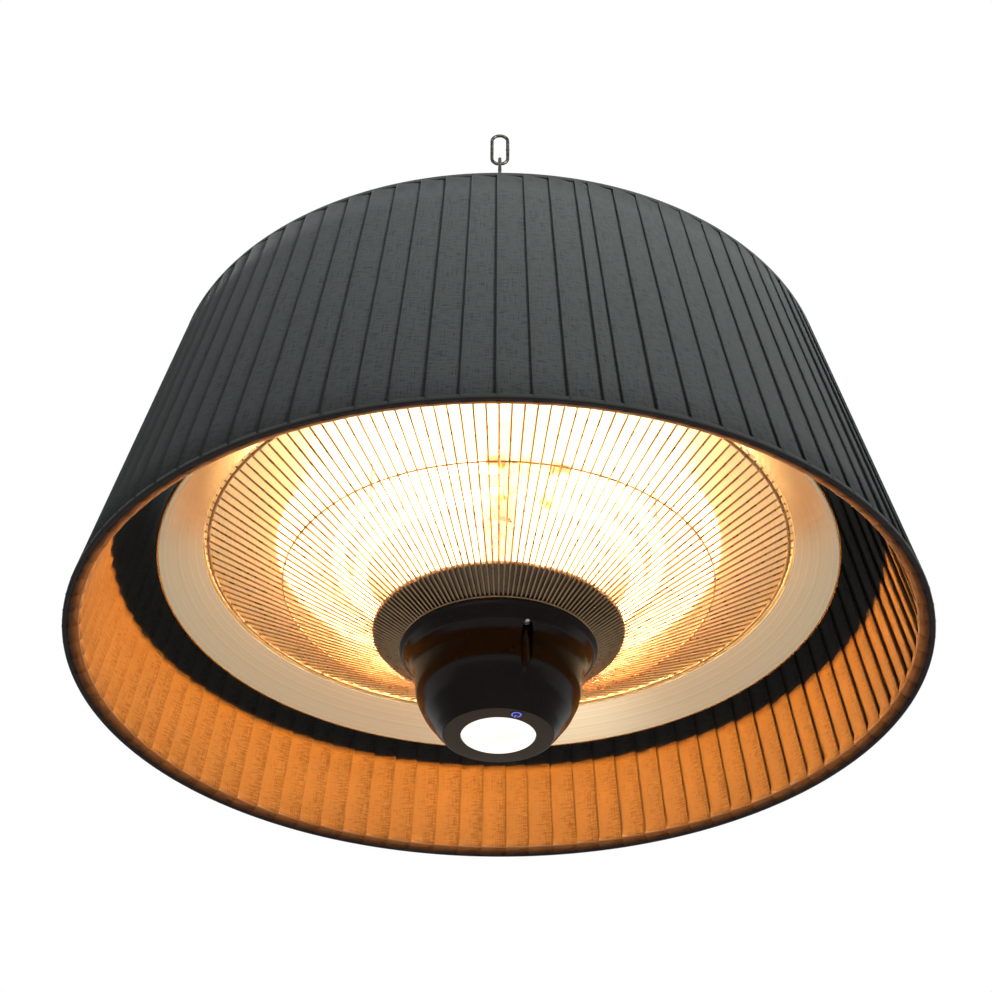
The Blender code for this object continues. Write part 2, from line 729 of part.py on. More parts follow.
def top_cover(look):
    """A pressed steel cover over the wiring. Its flange rests on the back of the reflector's shelf."""
    low = DISH_EDGE_HEIGHT + SHEET_THICKNESS + REST_GAP
    outer = COVER_DIAMETER / 2
    shoulder = outer - COVER_TOP_DIAMETER / 2
    base = COVER_HEIGHT - COVER_SHOULDER_HEIGHT
    outline = [
        (bore_of_cover(), COVER_HEIGHT),
        (COVER_TOP_DIAMETER / 2, COVER_HEIGHT),
    ]
    for in_share, up_share in reversed(COVER_SHOULDER_SHARES):
        outline.append((outer - shoulder * in_share, base + COVER_SHOULDER_HEIGHT * up_share))
    outline += [
        (outer, base),
        (outer, low + SHEET_THICKNESS),
        (outer + COVER_FLANGE_WIDTH, low + SHEET_THICKNESS),
    ]
    cover = hang(turned("top_cover", outline, look, MEDIUM_TURN, SHEET_THICKNESS))
    wide = SCREW_DIAMETER + 2 * REST_GAP
    level = COVER_HEIGHT - SHEET_THICKNESS, COVER_HEIGHT
    cut(cover, holes("cover_screw_holes", stem_screw_places(), wide, *level))
    cut(cover, holes("gland_hole", [(0, GLAND_Y)], GLAND_THREAD_DIAMETER + 2 * REST_GAP, *level, SMALL_TURN))


def bore_of_cover():
    """Radius of the hole in the middle of the cover, under the stem."""
    return STEM_DIAMETER / 2 - STEM_WALL


def cross_bracket(look):
    """A strap bent like a hat, between the reflector's back and the underside of the cover."""
    top = COVER_HEIGHT - SHEET_THICKNESS - REST_GAP
    inner = BRACKET_SPAN / 2 - BRACKET_THICKNESS
    outer = BRACKET_SPAN / 2
    toe = outer + BRACKET_FOOT_LENGTH
    foot = BACK_HEIGHT + BRACKET_THICKNESS
    outline = [
        (toe, BACK_HEIGHT),
        (toe, foot),
        (outer, foot),
        (outer, top),
        (-outer, top),
        (-outer, foot),
        (-toe, foot),
        (-toe, BACK_HEIGHT),
        (-inner, BACK_HEIGHT),
        (-inner, top - BRACKET_THICKNESS),
        (inner, top - BRACKET_THICKNESS),
        (inner, BACK_HEIGHT),
    ]
    data = bpy.data.curves.new("cross_bracket_outline", "CURVE")
    data.dimensions = "2D"
    data.fill_mode = "BOTH"
    data.extrude = BRACKET_WIDTH / 2
    spline = data.splines.new("POLY")
    spline.points.add(len(outline) - 1)
    for point, (across, height) in zip(spline.points, outline):
        point.co = (across, height, 0, 1)
    spline.use_cyclic_u = True
    flat = as_mesh(add("cross_bracket_outline", data, None))
    bm = bmesh.new()
    bm.from_mesh(flat.data)
    bmesh.ops.rotate(bm, cent=(0, 0, 0), matrix=Matrix.Rotation(math.pi / 2, 3, "X"), verts=bm.verts)
    bpy.data.objects.remove(flat, do_unlink=True)
    strap = hang(add("cross_bracket", mesh_of("cross_bracket", bm), look))
    wide = SCREW_DIAMETER + 2 * REST_GAP
    cut(strap, holes("bridge_holes", stem_screw_places(), wide, top - BRACKET_THICKNESS, top))
    cut(strap, holes("foot_holes", bracket_screw_places(), wide, BACK_HEIGHT, foot))


def lamp_ends(diameter, height):
    """The two ends of a ring lamp, each with the way that its tube points there."""
    ends = []
    for side in (-1, 1):
        azimuth = LAMP_GAP_AZIMUTH + side * LAMP_GAP_ANGLE / 2
        way = Vector((math.cos(azimuth), math.sin(azimuth), 0)) * -side
        ends.append((around(diameter / 2, azimuth, height), way))
    return ends


def ring_lamp(name, diameter, height, glass, tungsten):
    """A bent quartz tube with a filament along it, which reaches to both end caps."""
    data = bpy.data.meshes.new(name + "_tube")
    points = []
    for side in range(TUBE_SIDES):
        angle = math.tau * side / TUBE_SIDES
        out = LAMP_TUBE_DIAMETER / 2 * math.cos(angle)
        points.append((diameter / 2 + out, 0, -LAMP_TUBE_DIAMETER / 2 * math.sin(angle)))
    data.from_pydata(points, [(i, (i + 1) % TUBE_SIDES) for i in range(TUBE_SIDES)], [])
    tube = add(name + "_tube", data, glass)
    sweep = tube.modifiers.new("sweep", "SCREW")
    sweep.steps = sweep.render_steps = LAMP_STEPS
    sweep.angle = math.tau - LAMP_GAP_ANGLE
    sweep.use_merge_vertices = False
    wall = tube.modifiers.new("wall", "SOLIDIFY")
    wall.thickness = LAMP_TUBE_WALL
    wall.offset = -1
    hang(tube, height)
    tube.rotation_euler.z = LAMP_GAP_AZIMUTH + LAMP_GAP_ANGLE / 2 - math.pi / 2

    first = LAMP_GAP_AZIMUTH + LAMP_GAP_ANGLE / 2
    step = (math.tau - LAMP_GAP_ANGLE) / LAMP_STEPS
    run = [around(diameter / 2, first + step * i, height) for i in range(LAMP_STEPS + 1)]
    hang(wire(name + "_filament", [run], FILAMENT_DIAMETER, tungsten, resolution=0))


def lamp_lead(name, end, way, spot, ceramic):
    """A ceramic end cap with its lead potted in: the lead bends up to the bushing."""
    start = end + way * REST_GAP
    stop = start + way * LAMP_CAP_LENGTH
    cap = hang(solid(name, ceramic, [lambda bm: rod(bm, start, stop, LAMP_CAP_DIAMETER, SCREW_TURN)]))
    under = DISH_CEILING_HEIGHT - 2 * REST_GAP - BUSHING_FLANGE_THICKNESS
    root = stop - way * FUSED_DEPTH
    top = Vector((*spot, under))
    first = root + way * LEAD_REACH
    last = top - Vector((0, 0, LEAD_REACH))
    run = []
    for i in range(LEAD_STEPS + 1):
        t = i / LEAD_STEPS
        near, mid, far = root.lerp(first, t), first.lerp(last, t), last.lerp(top, t)
        run.append(near.lerp(mid, t).lerp(mid.lerp(far, t), t))
    cut(cap, hang(as_cutter(as_mesh(wire(name + "_wire", [run], LEAD_WIRE, None)))), "UNION")


def lamp_leads(ceramic):
    """The two ends of each lamp. Their leads come up side by side under the bushing."""
    for lamp, diameter, height, row in (
        ("inner_lamp", INNER_LAMP_DIAMETER, INNER_LAMP_HEIGHT, LEAD_SPREAD),
        ("outer_lamp", OUTER_LAMP_DIAMETER, OUTER_LAMP_HEIGHT, -LEAD_SPREAD),
    ):
        for hand, side, (end, way) in zip(("left", "right"), (-1, 1), lamp_ends(diameter, height)):
            spot = (BUSHING_PLACE[0] + side * LEAD_SPREAD, BUSHING_PLACE[1] + row)
            lamp_lead(f"{lamp}_{hand}_end", end, way, spot, ceramic)


def lamp_clips(look):
    """Bent wires that hold both lamps: down from the dish, under each tube and up to the dish again."""
    hold = (LAMP_TUBE_DIAMETER + CLIP_WIRE) / 2 + REST_GAP
    near_inner = INNER_LAMP_DIAMETER / 2 - hold
    over_outer = OUTER_LAMP_DIAMETER / 2 + hold
    profile = [(near_inner, dish_height(near_inner + CLIP_WIRE) - REST_GAP)]
    for radius, height in (
        (INNER_LAMP_DIAMETER / 2, INNER_LAMP_HEIGHT),
        (OUTER_LAMP_DIAMETER / 2, OUTER_LAMP_HEIGHT),
    ):
        for i in range(HOOK_ARC_STEPS + 1):
            angle = math.pi + math.pi * i / HOOK_ARC_STEPS
            profile.append((radius + hold * math.cos(angle), height + hold * math.sin(angle)))
    profile.append((over_outer, dish_height(over_outer + CLIP_WIRE) - REST_GAP))
    for number, share in enumerate(CLIP_SHARES, 1):
        azimuth = LAMP_GAP_AZIMUTH + LAMP_GAP_ANGLE / 2 + (math.tau - LAMP_GAP_ANGLE) * share
        run = [around(radius, azimuth, height) for radius, height in profile]
        hang(wire(f"lamp_clip_{number}", [run], CLIP_WIRE, look, resolution=0))


def dish_height(radius):
    """Height of the dish's lower face at a radius."""
    ceiling = DISH_CEILING_DIAMETER / 2
    wall = DISH_DIAMETER / 2 - ceiling
    corners = [(ceiling + wall * out, DISH_EDGE_HEIGHT + DISH_DEPTH * deep) for out, deep in DISH_WALL_SHARES]
    for (far, low), (near, high) in zip(corners, corners[1:]):
        if near <= radius <= far:
            return high + (low - high) * (radius - near) / (far - near)
    return DISH_CEILING_HEIGHT


def lead_bushing(look):
    """A ceramic bushing through the dish, which the lamps' leads go into."""
    under = DISH_CEILING_HEIGHT - REST_GAP
    stem = BUSHING_DIAMETER / 2
    outline = (
        (0, BACK_HEIGHT + BUSHING_TOP),
        (stem, BACK_HEIGHT + BUSHING_TOP),
        (stem, under),
        (BUSHING_FLANGE_DIAMETER / 2, under),
        (BUSHING_FLANGE_DIAMETER / 2, under - BUSHING_FLANGE_THICKNESS),
        (0, under - BUSHING_FLANGE_THICKNESS),
    )
    bushing = turned("lead_bushing", outline, look, SMALL_TURN)
    hang(bushing, 0.0, BUSHING_PLACE)


def guard(look):
    """Radial wires welded into an outer and an inner ring, and a loose ring over their middle."""
    inner = GUARD_INNER_RING_DIAMETER / 2
    outer = GUARD_OUTER_RING_DIAMETER / 2
    shapes = []
    for number in range(GUARD_WIRE_COUNT):
        azimuth = math.tau * number / GUARD_WIRE_COUNT
        ends = around(inner, azimuth, guard_height(inner)), around(outer, azimuth, guard_height(outer))
        shapes.append(lambda bm, ends=ends: rod(bm, *ends, GUARD_WIRE, GUARD_SIDES))
    wires = hang(solid("wire_guard", look, shapes))
    for name, diameter, thick in (
        ("guard_outer_hoop", GUARD_OUTER_RING_DIAMETER, GUARD_OUTER_RING_WIRE),
        ("guard_inner_hoop", GUARD_INNER_RING_DIAMETER, GUARD_INNER_RING_WIRE),
    ):
        tool = hoop(name, diameter, thick, None, parts=CUTTERS)
        hang(as_cutter(tool), guard_height(diameter / 2))
        # The ring is turned so that each wire crosses one of its facets and none of its corners.
        tool.rotation_euler.z = math.pi / GUARD_WIRE_COUNT
        cut(wires, tool, "UNION")
    above = (GUARD_RING_OFFSET + GUARD_MIDDLE_RING_WIRE / 2) * GUARD_STRETCH
    loose = hoop("guard_middle_ring", GUARD_MIDDLE_RING_DIAMETER, GUARD_MIDDLE_RING_WIRE, look, FINE_TURN)
    hang(loose, guard_height(GUARD_MIDDLE_RING_DIAMETER / 2) + above)


def column(steel, black):
    """The tube that carries the control housing, with a collar under the dish and one on the shield."""
    outer = COLUMN_DIAMETER / 2
    inner = outer - COLUMN_WALL
    wide = COLUMN_COLLAR_DIAMETER / 2
    top = BACK_HEIGHT + COLUMN_NUT_HEIGHT + COLUMN_END
    under_dish = DISH_CEILING_HEIGHT - REST_GAP
    on_shield = SHIELD_HEIGHT + SHIELD_THICKNESS + REST_GAP
    nut_top = LID_BOTTOM - REST_GAP
    bottom = nut_top - COLUMN_NUT_HEIGHT - COLUMN_END
    outline = (
        (inner, top),
        (outer, top),
        (outer, under_dish),
        (wide, under_dish),
        (wide, under_dish - COLUMN_COLLAR_THICKNESS),
        (outer, under_dish - COLUMN_COLLAR_THICKNESS),
        (outer, on_shield + COLUMN_COLLAR_THICKNESS),
        (wide, on_shield + COLUMN_COLLAR_THICKNESS),
        (wide, on_shield),
        (outer, on_shield),
        (outer, bottom),
        (inner, bottom),
    )
    hang(turned("centre_column", outline, steel, SMALL_TURN))
    bore = COLUMN_DIAMETER + 2 * REST_GAP
    for name, low in (("column_top_nut", BACK_HEIGHT), ("column_bottom_nut", nut_top - COLUMN_NUT_HEIGHT)):
        high = low + COLUMN_NUT_HEIGHT
        ends = (0, 0, low), (0, 0, high)
        nut = solid(name, black, [lambda bm: rod(bm, *ends, COLUMN_NUT_DIAMETER, NUT_SIDES)])
        cut(hang(nut), holes(name + "_bore", [(0, 0)], bore, low, high, SMALL_TURN))


def heat_shield(look):
    """A shallow pan over the housing, which shades it from the lamps."""
    edge = SHIELD_DIAMETER / 2
    flat = SHIELD_FLAT_DIAMETER / 2
    low = guard_height(edge) + GUARD_RING_OFFSET * GUARD_STRETCH
    knee = GUARD_INNER_RING_DIAMETER / 2
    outline = (
        (edge, low + SHIELD_LIP_HEIGHT),
        (edge, low),
        (knee, guard_height(knee) + 2 * GUARD_RING_OFFSET),
        (flat, SHIELD_HEIGHT),
        (COLUMN_DIAMETER / 2 + REST_GAP, SHIELD_HEIGHT),
    )
    hang(turned("heat_shield", outline, look, MEDIUM_TURN, SHIELD_THICKNESS))


# Control housing


def bowl_outline(inset=0.0):
    """The bowl's outline from the rim down to the face, drawn in by a wall."""
    face = HOUSING_FACE_DIAMETER / 2
    spread = HOUSING_RIM_DIAMETER / 2 - face
    height = HOUSING_RIM_HEIGHT + HOUSING_DROP
    return [
        (face + spread * out - inset, HOUSING_FLOOR + height * up) for out, up in BOWL_SHARES
    ]


def pocket_places():
    spots = []
    for number in range(POCKET_COUNT):
        place = around(POCKET_CENTRE_RADIUS, POCKET_AZIMUTH + math.tau * number / POCKET_COUNT)
        spots.append((place.x, place.y))
    return spots


def control_housing(look):
    """A moulded bowl with a flat face, a lens opening, a button hole and three screw pockets in its side."""
    outer = bowl_outline()
    bowl = hang(turned("control_housing", [(0, outer[0][1]), *outer, (0, outer[-1][1])], look, PLAIN_TURN))

    inner = [point for point in bowl_outline(HOUSING_WALL) if point[1] > HOUSING_FLOOR + HOUSING_WALL]
    floor = HOUSING_FLOOR + HOUSING_WALL
    above = HOUSING_RIM_HEIGHT + OVERRUN
    hollow = [(0, above), (inner[0][0], above), *inner[1:], (inner[-1][0] - HOUSING_WALL, floor), (0, floor)]
    cavity = hang(as_cutter(turned("housing_cavity", hollow, None, PLAIN_TURN, parts=CUTTERS)))
    roof = HOUSING_RIM_HEIGHT - POCKET_TOP_DROP
    pillar_top = LID_BOTTOM - REST_GAP
    pillars = solid(
        "pocket_pillars",
        None,
        [
            lambda bm, x=x, y=y: rod(
                bm, (x, y, HOUSING_FLOOR), (x, y, pillar_top), POCKET_DIAMETER + 2 * POCKET_WALL, SCREW_TURN
            )
            for x, y in pocket_places()
        ],
        CUTTERS,
    )
    cut(cavity, hang(as_cutter(pillars)))
    cut(bowl, cavity)

    cut(bowl, holes("screw_pockets", pocket_places(), POCKET_DIAMETER, HOUSING_FLOOR, roof - OVERRUN))
    bore = SCREW_DIAMETER + 2 * REST_GAP
    cut(bowl, holes("pocket_bores", pocket_places(), bore, roof, pillar_top))
    lens = LENS_DIAMETER + 2 * REST_GAP
    cut(bowl, holes("lens_opening", [(0, 0)], lens, HOUSING_FLOOR, floor, PLAIN_TURN))
    spot = around(BUTTON_CENTRE_RADIUS, BUTTON_AZIMUTH)
    button = BUTTON_DIAMETER + 2 * REST_GAP
    cut(bowl, holes("button_hole", [spot.xy], button, HOUSING_FLOOR, floor, SMALL_TURN))


def housing_lid(look):
    """A steel plate that closes the bowl and is clamped on the column."""
    bore = COLUMN_DIAMETER / 2 + REST_GAP
    outline = (
        (bore, LID_TOP + LID_BOSS_HEIGHT),
        (LID_BOSS_DIAMETER / 2, LID_TOP + LID_BOSS_HEIGHT),
        (LID_BOSS_DIAMETER / 2, LID_TOP),
        (LID_DIAMETER / 2, LID_TOP),
        (LID_DIAMETER / 2, LID_BOTTOM),
        (bore, LID_BOTTOM),
    )
    lid = hang(turned("housing_lid", outline, look, MEDIUM_TURN))
    high = LID_BOTTOM + LID_THICKNESS / 2
    low = LID_BOTTOM - SPACER_HEIGHT
    shapes = []
    for number in range(POCKET_COUNT):
        azimuth = POCKET_AZIMUTH + math.tau * (number + 0.5) / POCKET_COUNT
        ends = around(SPACER_CENTRE_RADIUS, azimuth, low), around(SPACER_CENTRE_RADIUS, azimuth, high)
        shapes.append(lambda bm, ends=ends: rod(bm, *ends, SPACER_DIAMETER, TUBE_SIDES))
    cut(lid, hang(as_cutter(solid("board_spacers", None, shapes, CUTTERS))), "UNION")
    cut(lid, holes("lid_holes", pocket_places(), SCREW_DIAMETER + 2 * REST_GAP, LID_BOTTOM, LID_TOP))


def disc(name, diameter, low, high, look, sides=PLAIN_TURN):
    return hang(solid(name, look, [lambda bm: rod(bm, (0, 0, low), (0, 0, high), diameter, sides)]))


def boards(green, white):
    """The control board hung from the lid, with two relays soldered on it and a power module under it."""
    low = CONTROL_BOARD_TOP - BOARD_THICKNESS
    board = disc("control_board", CONTROL_BOARD_DIAMETER, low, CONTROL_BOARD_TOP, green)
    soldered = low + BOARD_THICKNESS / 2
    relays = [
        lambda bm, side=side: box(
            bm,
            (RELAY_LENGTH, RELAY_WIDTH, RELAY_HEIGHT),
            (side * RELAY_SPACING / 2, COMPONENT_OFFSET, soldered - RELAY_HEIGHT / 2),
        )
        for side in (-1, 1)
    ]
    cut(board, hang(as_cutter(solid("relays", None, relays, CUTTERS))), "UNION")
    under = low - REST_GAP
    module = solid(
        "power_module",
        white,
        [
            lambda bm: box(
                bm,
                (MODULE_LENGTH, MODULE_WIDTH, MODULE_HEIGHT),
                (0, -COMPONENT_OFFSET, under - MODULE_HEIGHT / 2),
            )
        ],
    )
    soften(hang(module))


def soften(obj):
    edge = obj.modifiers.new("edges", "BEVEL")
    edge.width = COMPONENT_EDGE
    edge.segments = 1


def lamp_lens(look):
    """A white cover over the diodes: a face in the bowl's opening, a flange inside it and a skirt."""
    face = LENS_DIAMETER / 2
    flange = LENS_FLANGE_DIAMETER / 2
    low = HOUSING_FLOOR - LENS_PROUD
    inside = LENS_SEAT + LENS_FLANGE_THICKNESS
    outline = (
        (0, inside),
        (flange - LENS_SKIRT_WALL, inside),
        (flange - LENS_SKIRT_WALL, inside + LENS_SKIRT_HEIGHT),
        (flange, inside + LENS_SKIRT_HEIGHT),
        (flange, LENS_SEAT),
        (face, LENS_SEAT),
        (face, HOUSING_FLOOR),
        (face - LENS_PROUD, low),
        (0, low),
    )
    hang(turned("lamp_lens", outline, look, MEDIUM_TURN))


def lamp_board(green):
    """A round board on the lens's skirt, with a tab that carries the button's switch."""
    low = LAMP_BOARD_HEIGHT
    high = low + BOARD_THICKNESS
    board = disc("lamp_board", LENS_FLANGE_DIAMETER, low, high, green)
    inner = LENS_FLANGE_DIAMETER / 2 - OVERRUN
    length = LAMP_BOARD_TAB_REACH - inner
    tab_size = (LAMP_BOARD_TAB_WIDTH, length, BOARD_THICKNESS)
    centre = (0, -inner - length / 2, (low + high) / 2)
    tab = solid("lamp_board_tab", None, [lambda bm: box(bm, tab_size, centre)], CUTTERS)
    hang(as_cutter(tab)).rotation_euler.z = BUTTON_AZIMUTH
    cut(board, tab, "UNION")
    soldered = low + FUSED_DEPTH - DIODE_HEIGHT
    size = (DIODE_SIDE, DIODE_SIDE, 2 * DIODE_HEIGHT)
    shapes = [lambda bm: box(bm, size, (0, 0, soldered))]
    for number in range(DIODE_COUNT):
        place = around(DIODE_CENTRE_RADIUS, math.tau * number / DIODE_COUNT, soldered)
        shapes.append(lambda bm, place=place: box(bm, size, place))
    cut(board, hang(as_cutter(solid("lamp_diodes", None, shapes, CUTTERS))), "UNION")


def symbol_outline(grow=0.0):
    """Shapes of the standby symbol, as an arc of points and a bar, both centred on the button."""
    middle = (SYMBOL_DIAMETER - SYMBOL_LINE) / 2
    start = math.pi / 2 + SYMBOL_OPENING / 2
    sweep = math.tau - SYMBOL_OPENING
    thick = SYMBOL_LINE / 2 + grow
    steps = SYMBOL_STEPS
    spare = grow / middle
    angles = [start - spare + (sweep + 2 * spare) * i / steps for i in range(steps + 1)]
    outer = [((middle + thick) * math.cos(a), (middle + thick) * math.sin(a)) for a in angles]
    inner = [((middle - thick) * math.cos(a), (middle - thick) * math.sin(a)) for a in reversed(angles)]
    top = SYMBOL_DIAMETER / 2
    bar = [
        (-thick, top + grow),
        (-thick, top - SYMBOL_BAR_LENGTH - grow),
        (thick, top - SYMBOL_BAR_LENGTH - grow),
        (thick, top + grow),
    ]
    return outer + inner, bar


def plate(name, outlines, low, high, look, parts=PARTS):
    """Flat outlines given a thickness between two heights."""
    bm = bmesh.new()
    for outline in outlines:
        face = bm.faces.new([bm.verts.new((x, y, low)) for x, y in outline])
        raised = bmesh.ops.extrude_face_region(bm, geom=[face], use_keep_orig=True)["geom"]
        lifted = [item for item in raised if isinstance(item, bmesh.types.BMVert)]
        bmesh.ops.translate(bm, vec=(0, 0, high - low), verts=lifted)
    return add(name, mesh_of(name, bm), look, parts)


def symbol_back(name, grow):
    """The round light guide inside the button that the symbol's arc and bar stand on."""
    low = SYMBOL_DEPTH - grow
    high = SYMBOL_DEPTH + FUSED_DEPTH + grow
    diameter = SYMBOL_DIAMETER + 2 * grow
    shape = [lambda bm: rod(bm, (0, 0, low), (0, 0, high), diameter, SMALL_TURN)]
    return as_cutter(solid(name, None, shape, CUTTERS))


def power_button(black, blue, grey):
    """The button in the housing's face, its lit symbol, and the switch above it that springs it back."""
    spot = around(BUTTON_CENTRE_RADIUS, BUTTON_AZIMUTH)
    face = HOUSING_FLOOR - BUTTON_PROUD
    outline = (
        (0, BUTTON_HEIGHT + BUTTON_STEM_LENGTH),
        (BUTTON_STEM_DIAMETER / 2, BUTTON_HEIGHT + BUTTON_STEM_LENGTH),
        (BUTTON_STEM_DIAMETER / 2, BUTTON_HEIGHT),
        (BUTTON_DIAMETER / 2, BUTTON_HEIGHT),
        (BUTTON_DIAMETER / 2, 0),
        (0, 0),
    )
    button = turned("power_button", outline, black, SMALL_TURN)
    inside = SYMBOL_DEPTH + FUSED_DEPTH / 2
    symbol = plate("power_symbol", symbol_outline(), -SYMBOL_PROUD, inside, blue)
    back = symbol_back("symbol_back", 0.0)
    cut(symbol, back, "UNION")
    recess = plate("symbol_recess", symbol_outline(SYMBOL_GAP), -OVERRUN, inside, None, CUTTERS)
    recess_back = symbol_back("symbol_recess_back", SYMBOL_GAP)
    cut(as_cutter(recess), recess_back, "UNION")
    cut(button, recess)
    for piece in (button, symbol, back, recess, recess_back):
        hang(piece, face, spot.xy)
        piece.rotation_euler.z = BUTTON_AZIMUTH

    top = LAMP_BOARD_HEIGHT - REST_GAP
    low = top - SWITCH_HEIGHT
    switch = solid(
        "button_switch",
        grey,
        [lambda bm: box(bm, (SWITCH_SIDE, SWITCH_SIDE, SWITCH_HEIGHT), (spot.x, spot.y, (top + low) / 2))],
    )
    bore = BUTTON_STEM_DIAMETER + 2 * REST_GAP
    cut(hang(switch), holes("switch_bore", [spot.xy], bore, low, low + SWITCH_BORE_DEPTH - OVERRUN))


# Wiring and safety parts


def terminal_block(look):
    block = solid(
        "terminal_block",
        look,
        [
            lambda bm: box(
                bm,
                (TERMINAL_LENGTH, TERMINAL_WIDTH, TERMINAL_HEIGHT),
                (0, TERMINAL_Y, BACK_HEIGHT + TERMINAL_HEIGHT / 2),
            )
        ],
    )
    soften(hang(block))


def thermal_cutout(look):
    low = BACK_HEIGHT
    high = low + CUTOUT_HEIGHT
    ends = (0, -CUTOUT_Y, low), (0, -CUTOUT_Y, high)
    hang(solid("thermal_cutout", look, [lambda bm: rod(bm, *ends, CUTOUT_DIAMETER, SMALL_TURN)]))


def smooth_run(points, steps):
    """Points along a smooth curve through the given ones."""
    points = [Vector(point) for point in points]
    ends = [2 * points[0] - points[1], *points, 2 * points[-1] - points[-2]]
    run = []
    for before, start, stop, after in zip(ends, ends[1:], ends[2:], ends[3:]):
        for i in range(steps):
            t = i / steps
            pull_in, pull_out = (stop - before) / 2, (after - start) / 2
            run.append(
                (2 * t**3 - 3 * t**2 + 1) * start
                + (t**3 - 2 * t**2 + t) * pull_in
                + (3 * t**2 - 2 * t**3) * stop
                + (t**3 - t**2) * pull_out
            )
    return run + [points[-1]]


def wiring_loom(look):
    """Sleeved wires from the control board up the column, joined by those from the lamps' bushing."""
    column_top = BACK_HEIGHT + COLUMN_NUT_HEIGHT + COLUMN_END
    near = TERMINAL_Y - TERMINAL_WIDTH / 2 - REST_GAP
    entry = BACK_HEIGHT + TERMINAL_HEIGHT / 2
    bend = column_top + LOOM_RISE
    route = [
        (0, 0, CONTROL_BOARD_TOP + REST_GAP),
        (0, 0, column_top),
        (0, near * LOOM_BEND_SHARE, bend),
        (0, near * LOOM_TURN_SHARE, bend),
        (0, near - LOOM_DIAMETER, entry),
        (0, near - FUSED_DEPTH, entry),
    ]
    trunk = wire("wiring_loom", [smooth_run(route, LOOM_STEPS) + [(0, near, entry)]], LOOM_DIAMETER, None)
    x, y = BUSHING_PLACE
    start = BACK_HEIGHT + BUSHING_TOP + REST_GAP
    route = [
        (x, y, start + FUSED_DEPTH),
        (x, y + BRANCH_DIAMETER / 2, start + BRANCH_DIAMETER),
        (x, y * BRANCH_LEVEL_SHARE, bend),
        (0, near * LOOM_BEND_SHARE, bend),
    ]
    branch = wire("lamp_branch", [[(x, y, start)] + smooth_run(route, BRANCH_STEPS)], BRANCH_DIAMETER, None)
    loom = as_mesh(trunk)
    CUTTERS.objects.unlink(loom)
    PARTS.objects.link(loom)
    loom.data.materials.append(look)
    cut(hang(loom), hang(as_cutter(as_mesh(branch))), "UNION")


def cable_gland(look):
    """The inlet for the supply cable, through the top cover, with its nut under the sheet."""
    bore = GLAND_BORE_DIAMETER / 2
    thread = GLAND_THREAD_DIAMETER / 2
    seat = COVER_HEIGHT + REST_GAP
    flange = GLAND_FLANGE_DIAMETER / 2
    dome = GLAND_DOME_DIAMETER / 2
    step = seat + GLAND_FLANGE_THICKNESS
    end = COVER_HEIGHT - SHEET_THICKNESS - GLAND_TAIL
    outline = (
        (bore, step + GLAND_DOME_HEIGHT),
        ((bore + dome) / 2, step + GLAND_DOME_HEIGHT),
        (dome, step + GLAND_DOME_HEIGHT / 2),
        (dome, step),
        (flange, step),
        (flange, seat),
        (thread, seat),
        (thread, end),
        (bore, end),
    )
    hang(turned("cable_gland", outline, look, SMALL_TURN), 0.0, (0, GLAND_Y))
    high = COVER_HEIGHT - SHEET_THICKNESS - REST_GAP
    low = high - GLAND_NUT_THICKNESS
    ends = (0, GLAND_Y, low), (0, GLAND_Y, high)
    nut = solid("gland_nut", look, [lambda bm: rod(bm, *ends, GLAND_FLANGE_DIAMETER, NUT_SIDES)])
    bore_tool = holes("gland_nut_bore", [(0, GLAND_Y)], 2 * (thread + REST_GAP), low, high, SMALL_TURN)
    cut(hang(nut), bore_tool)


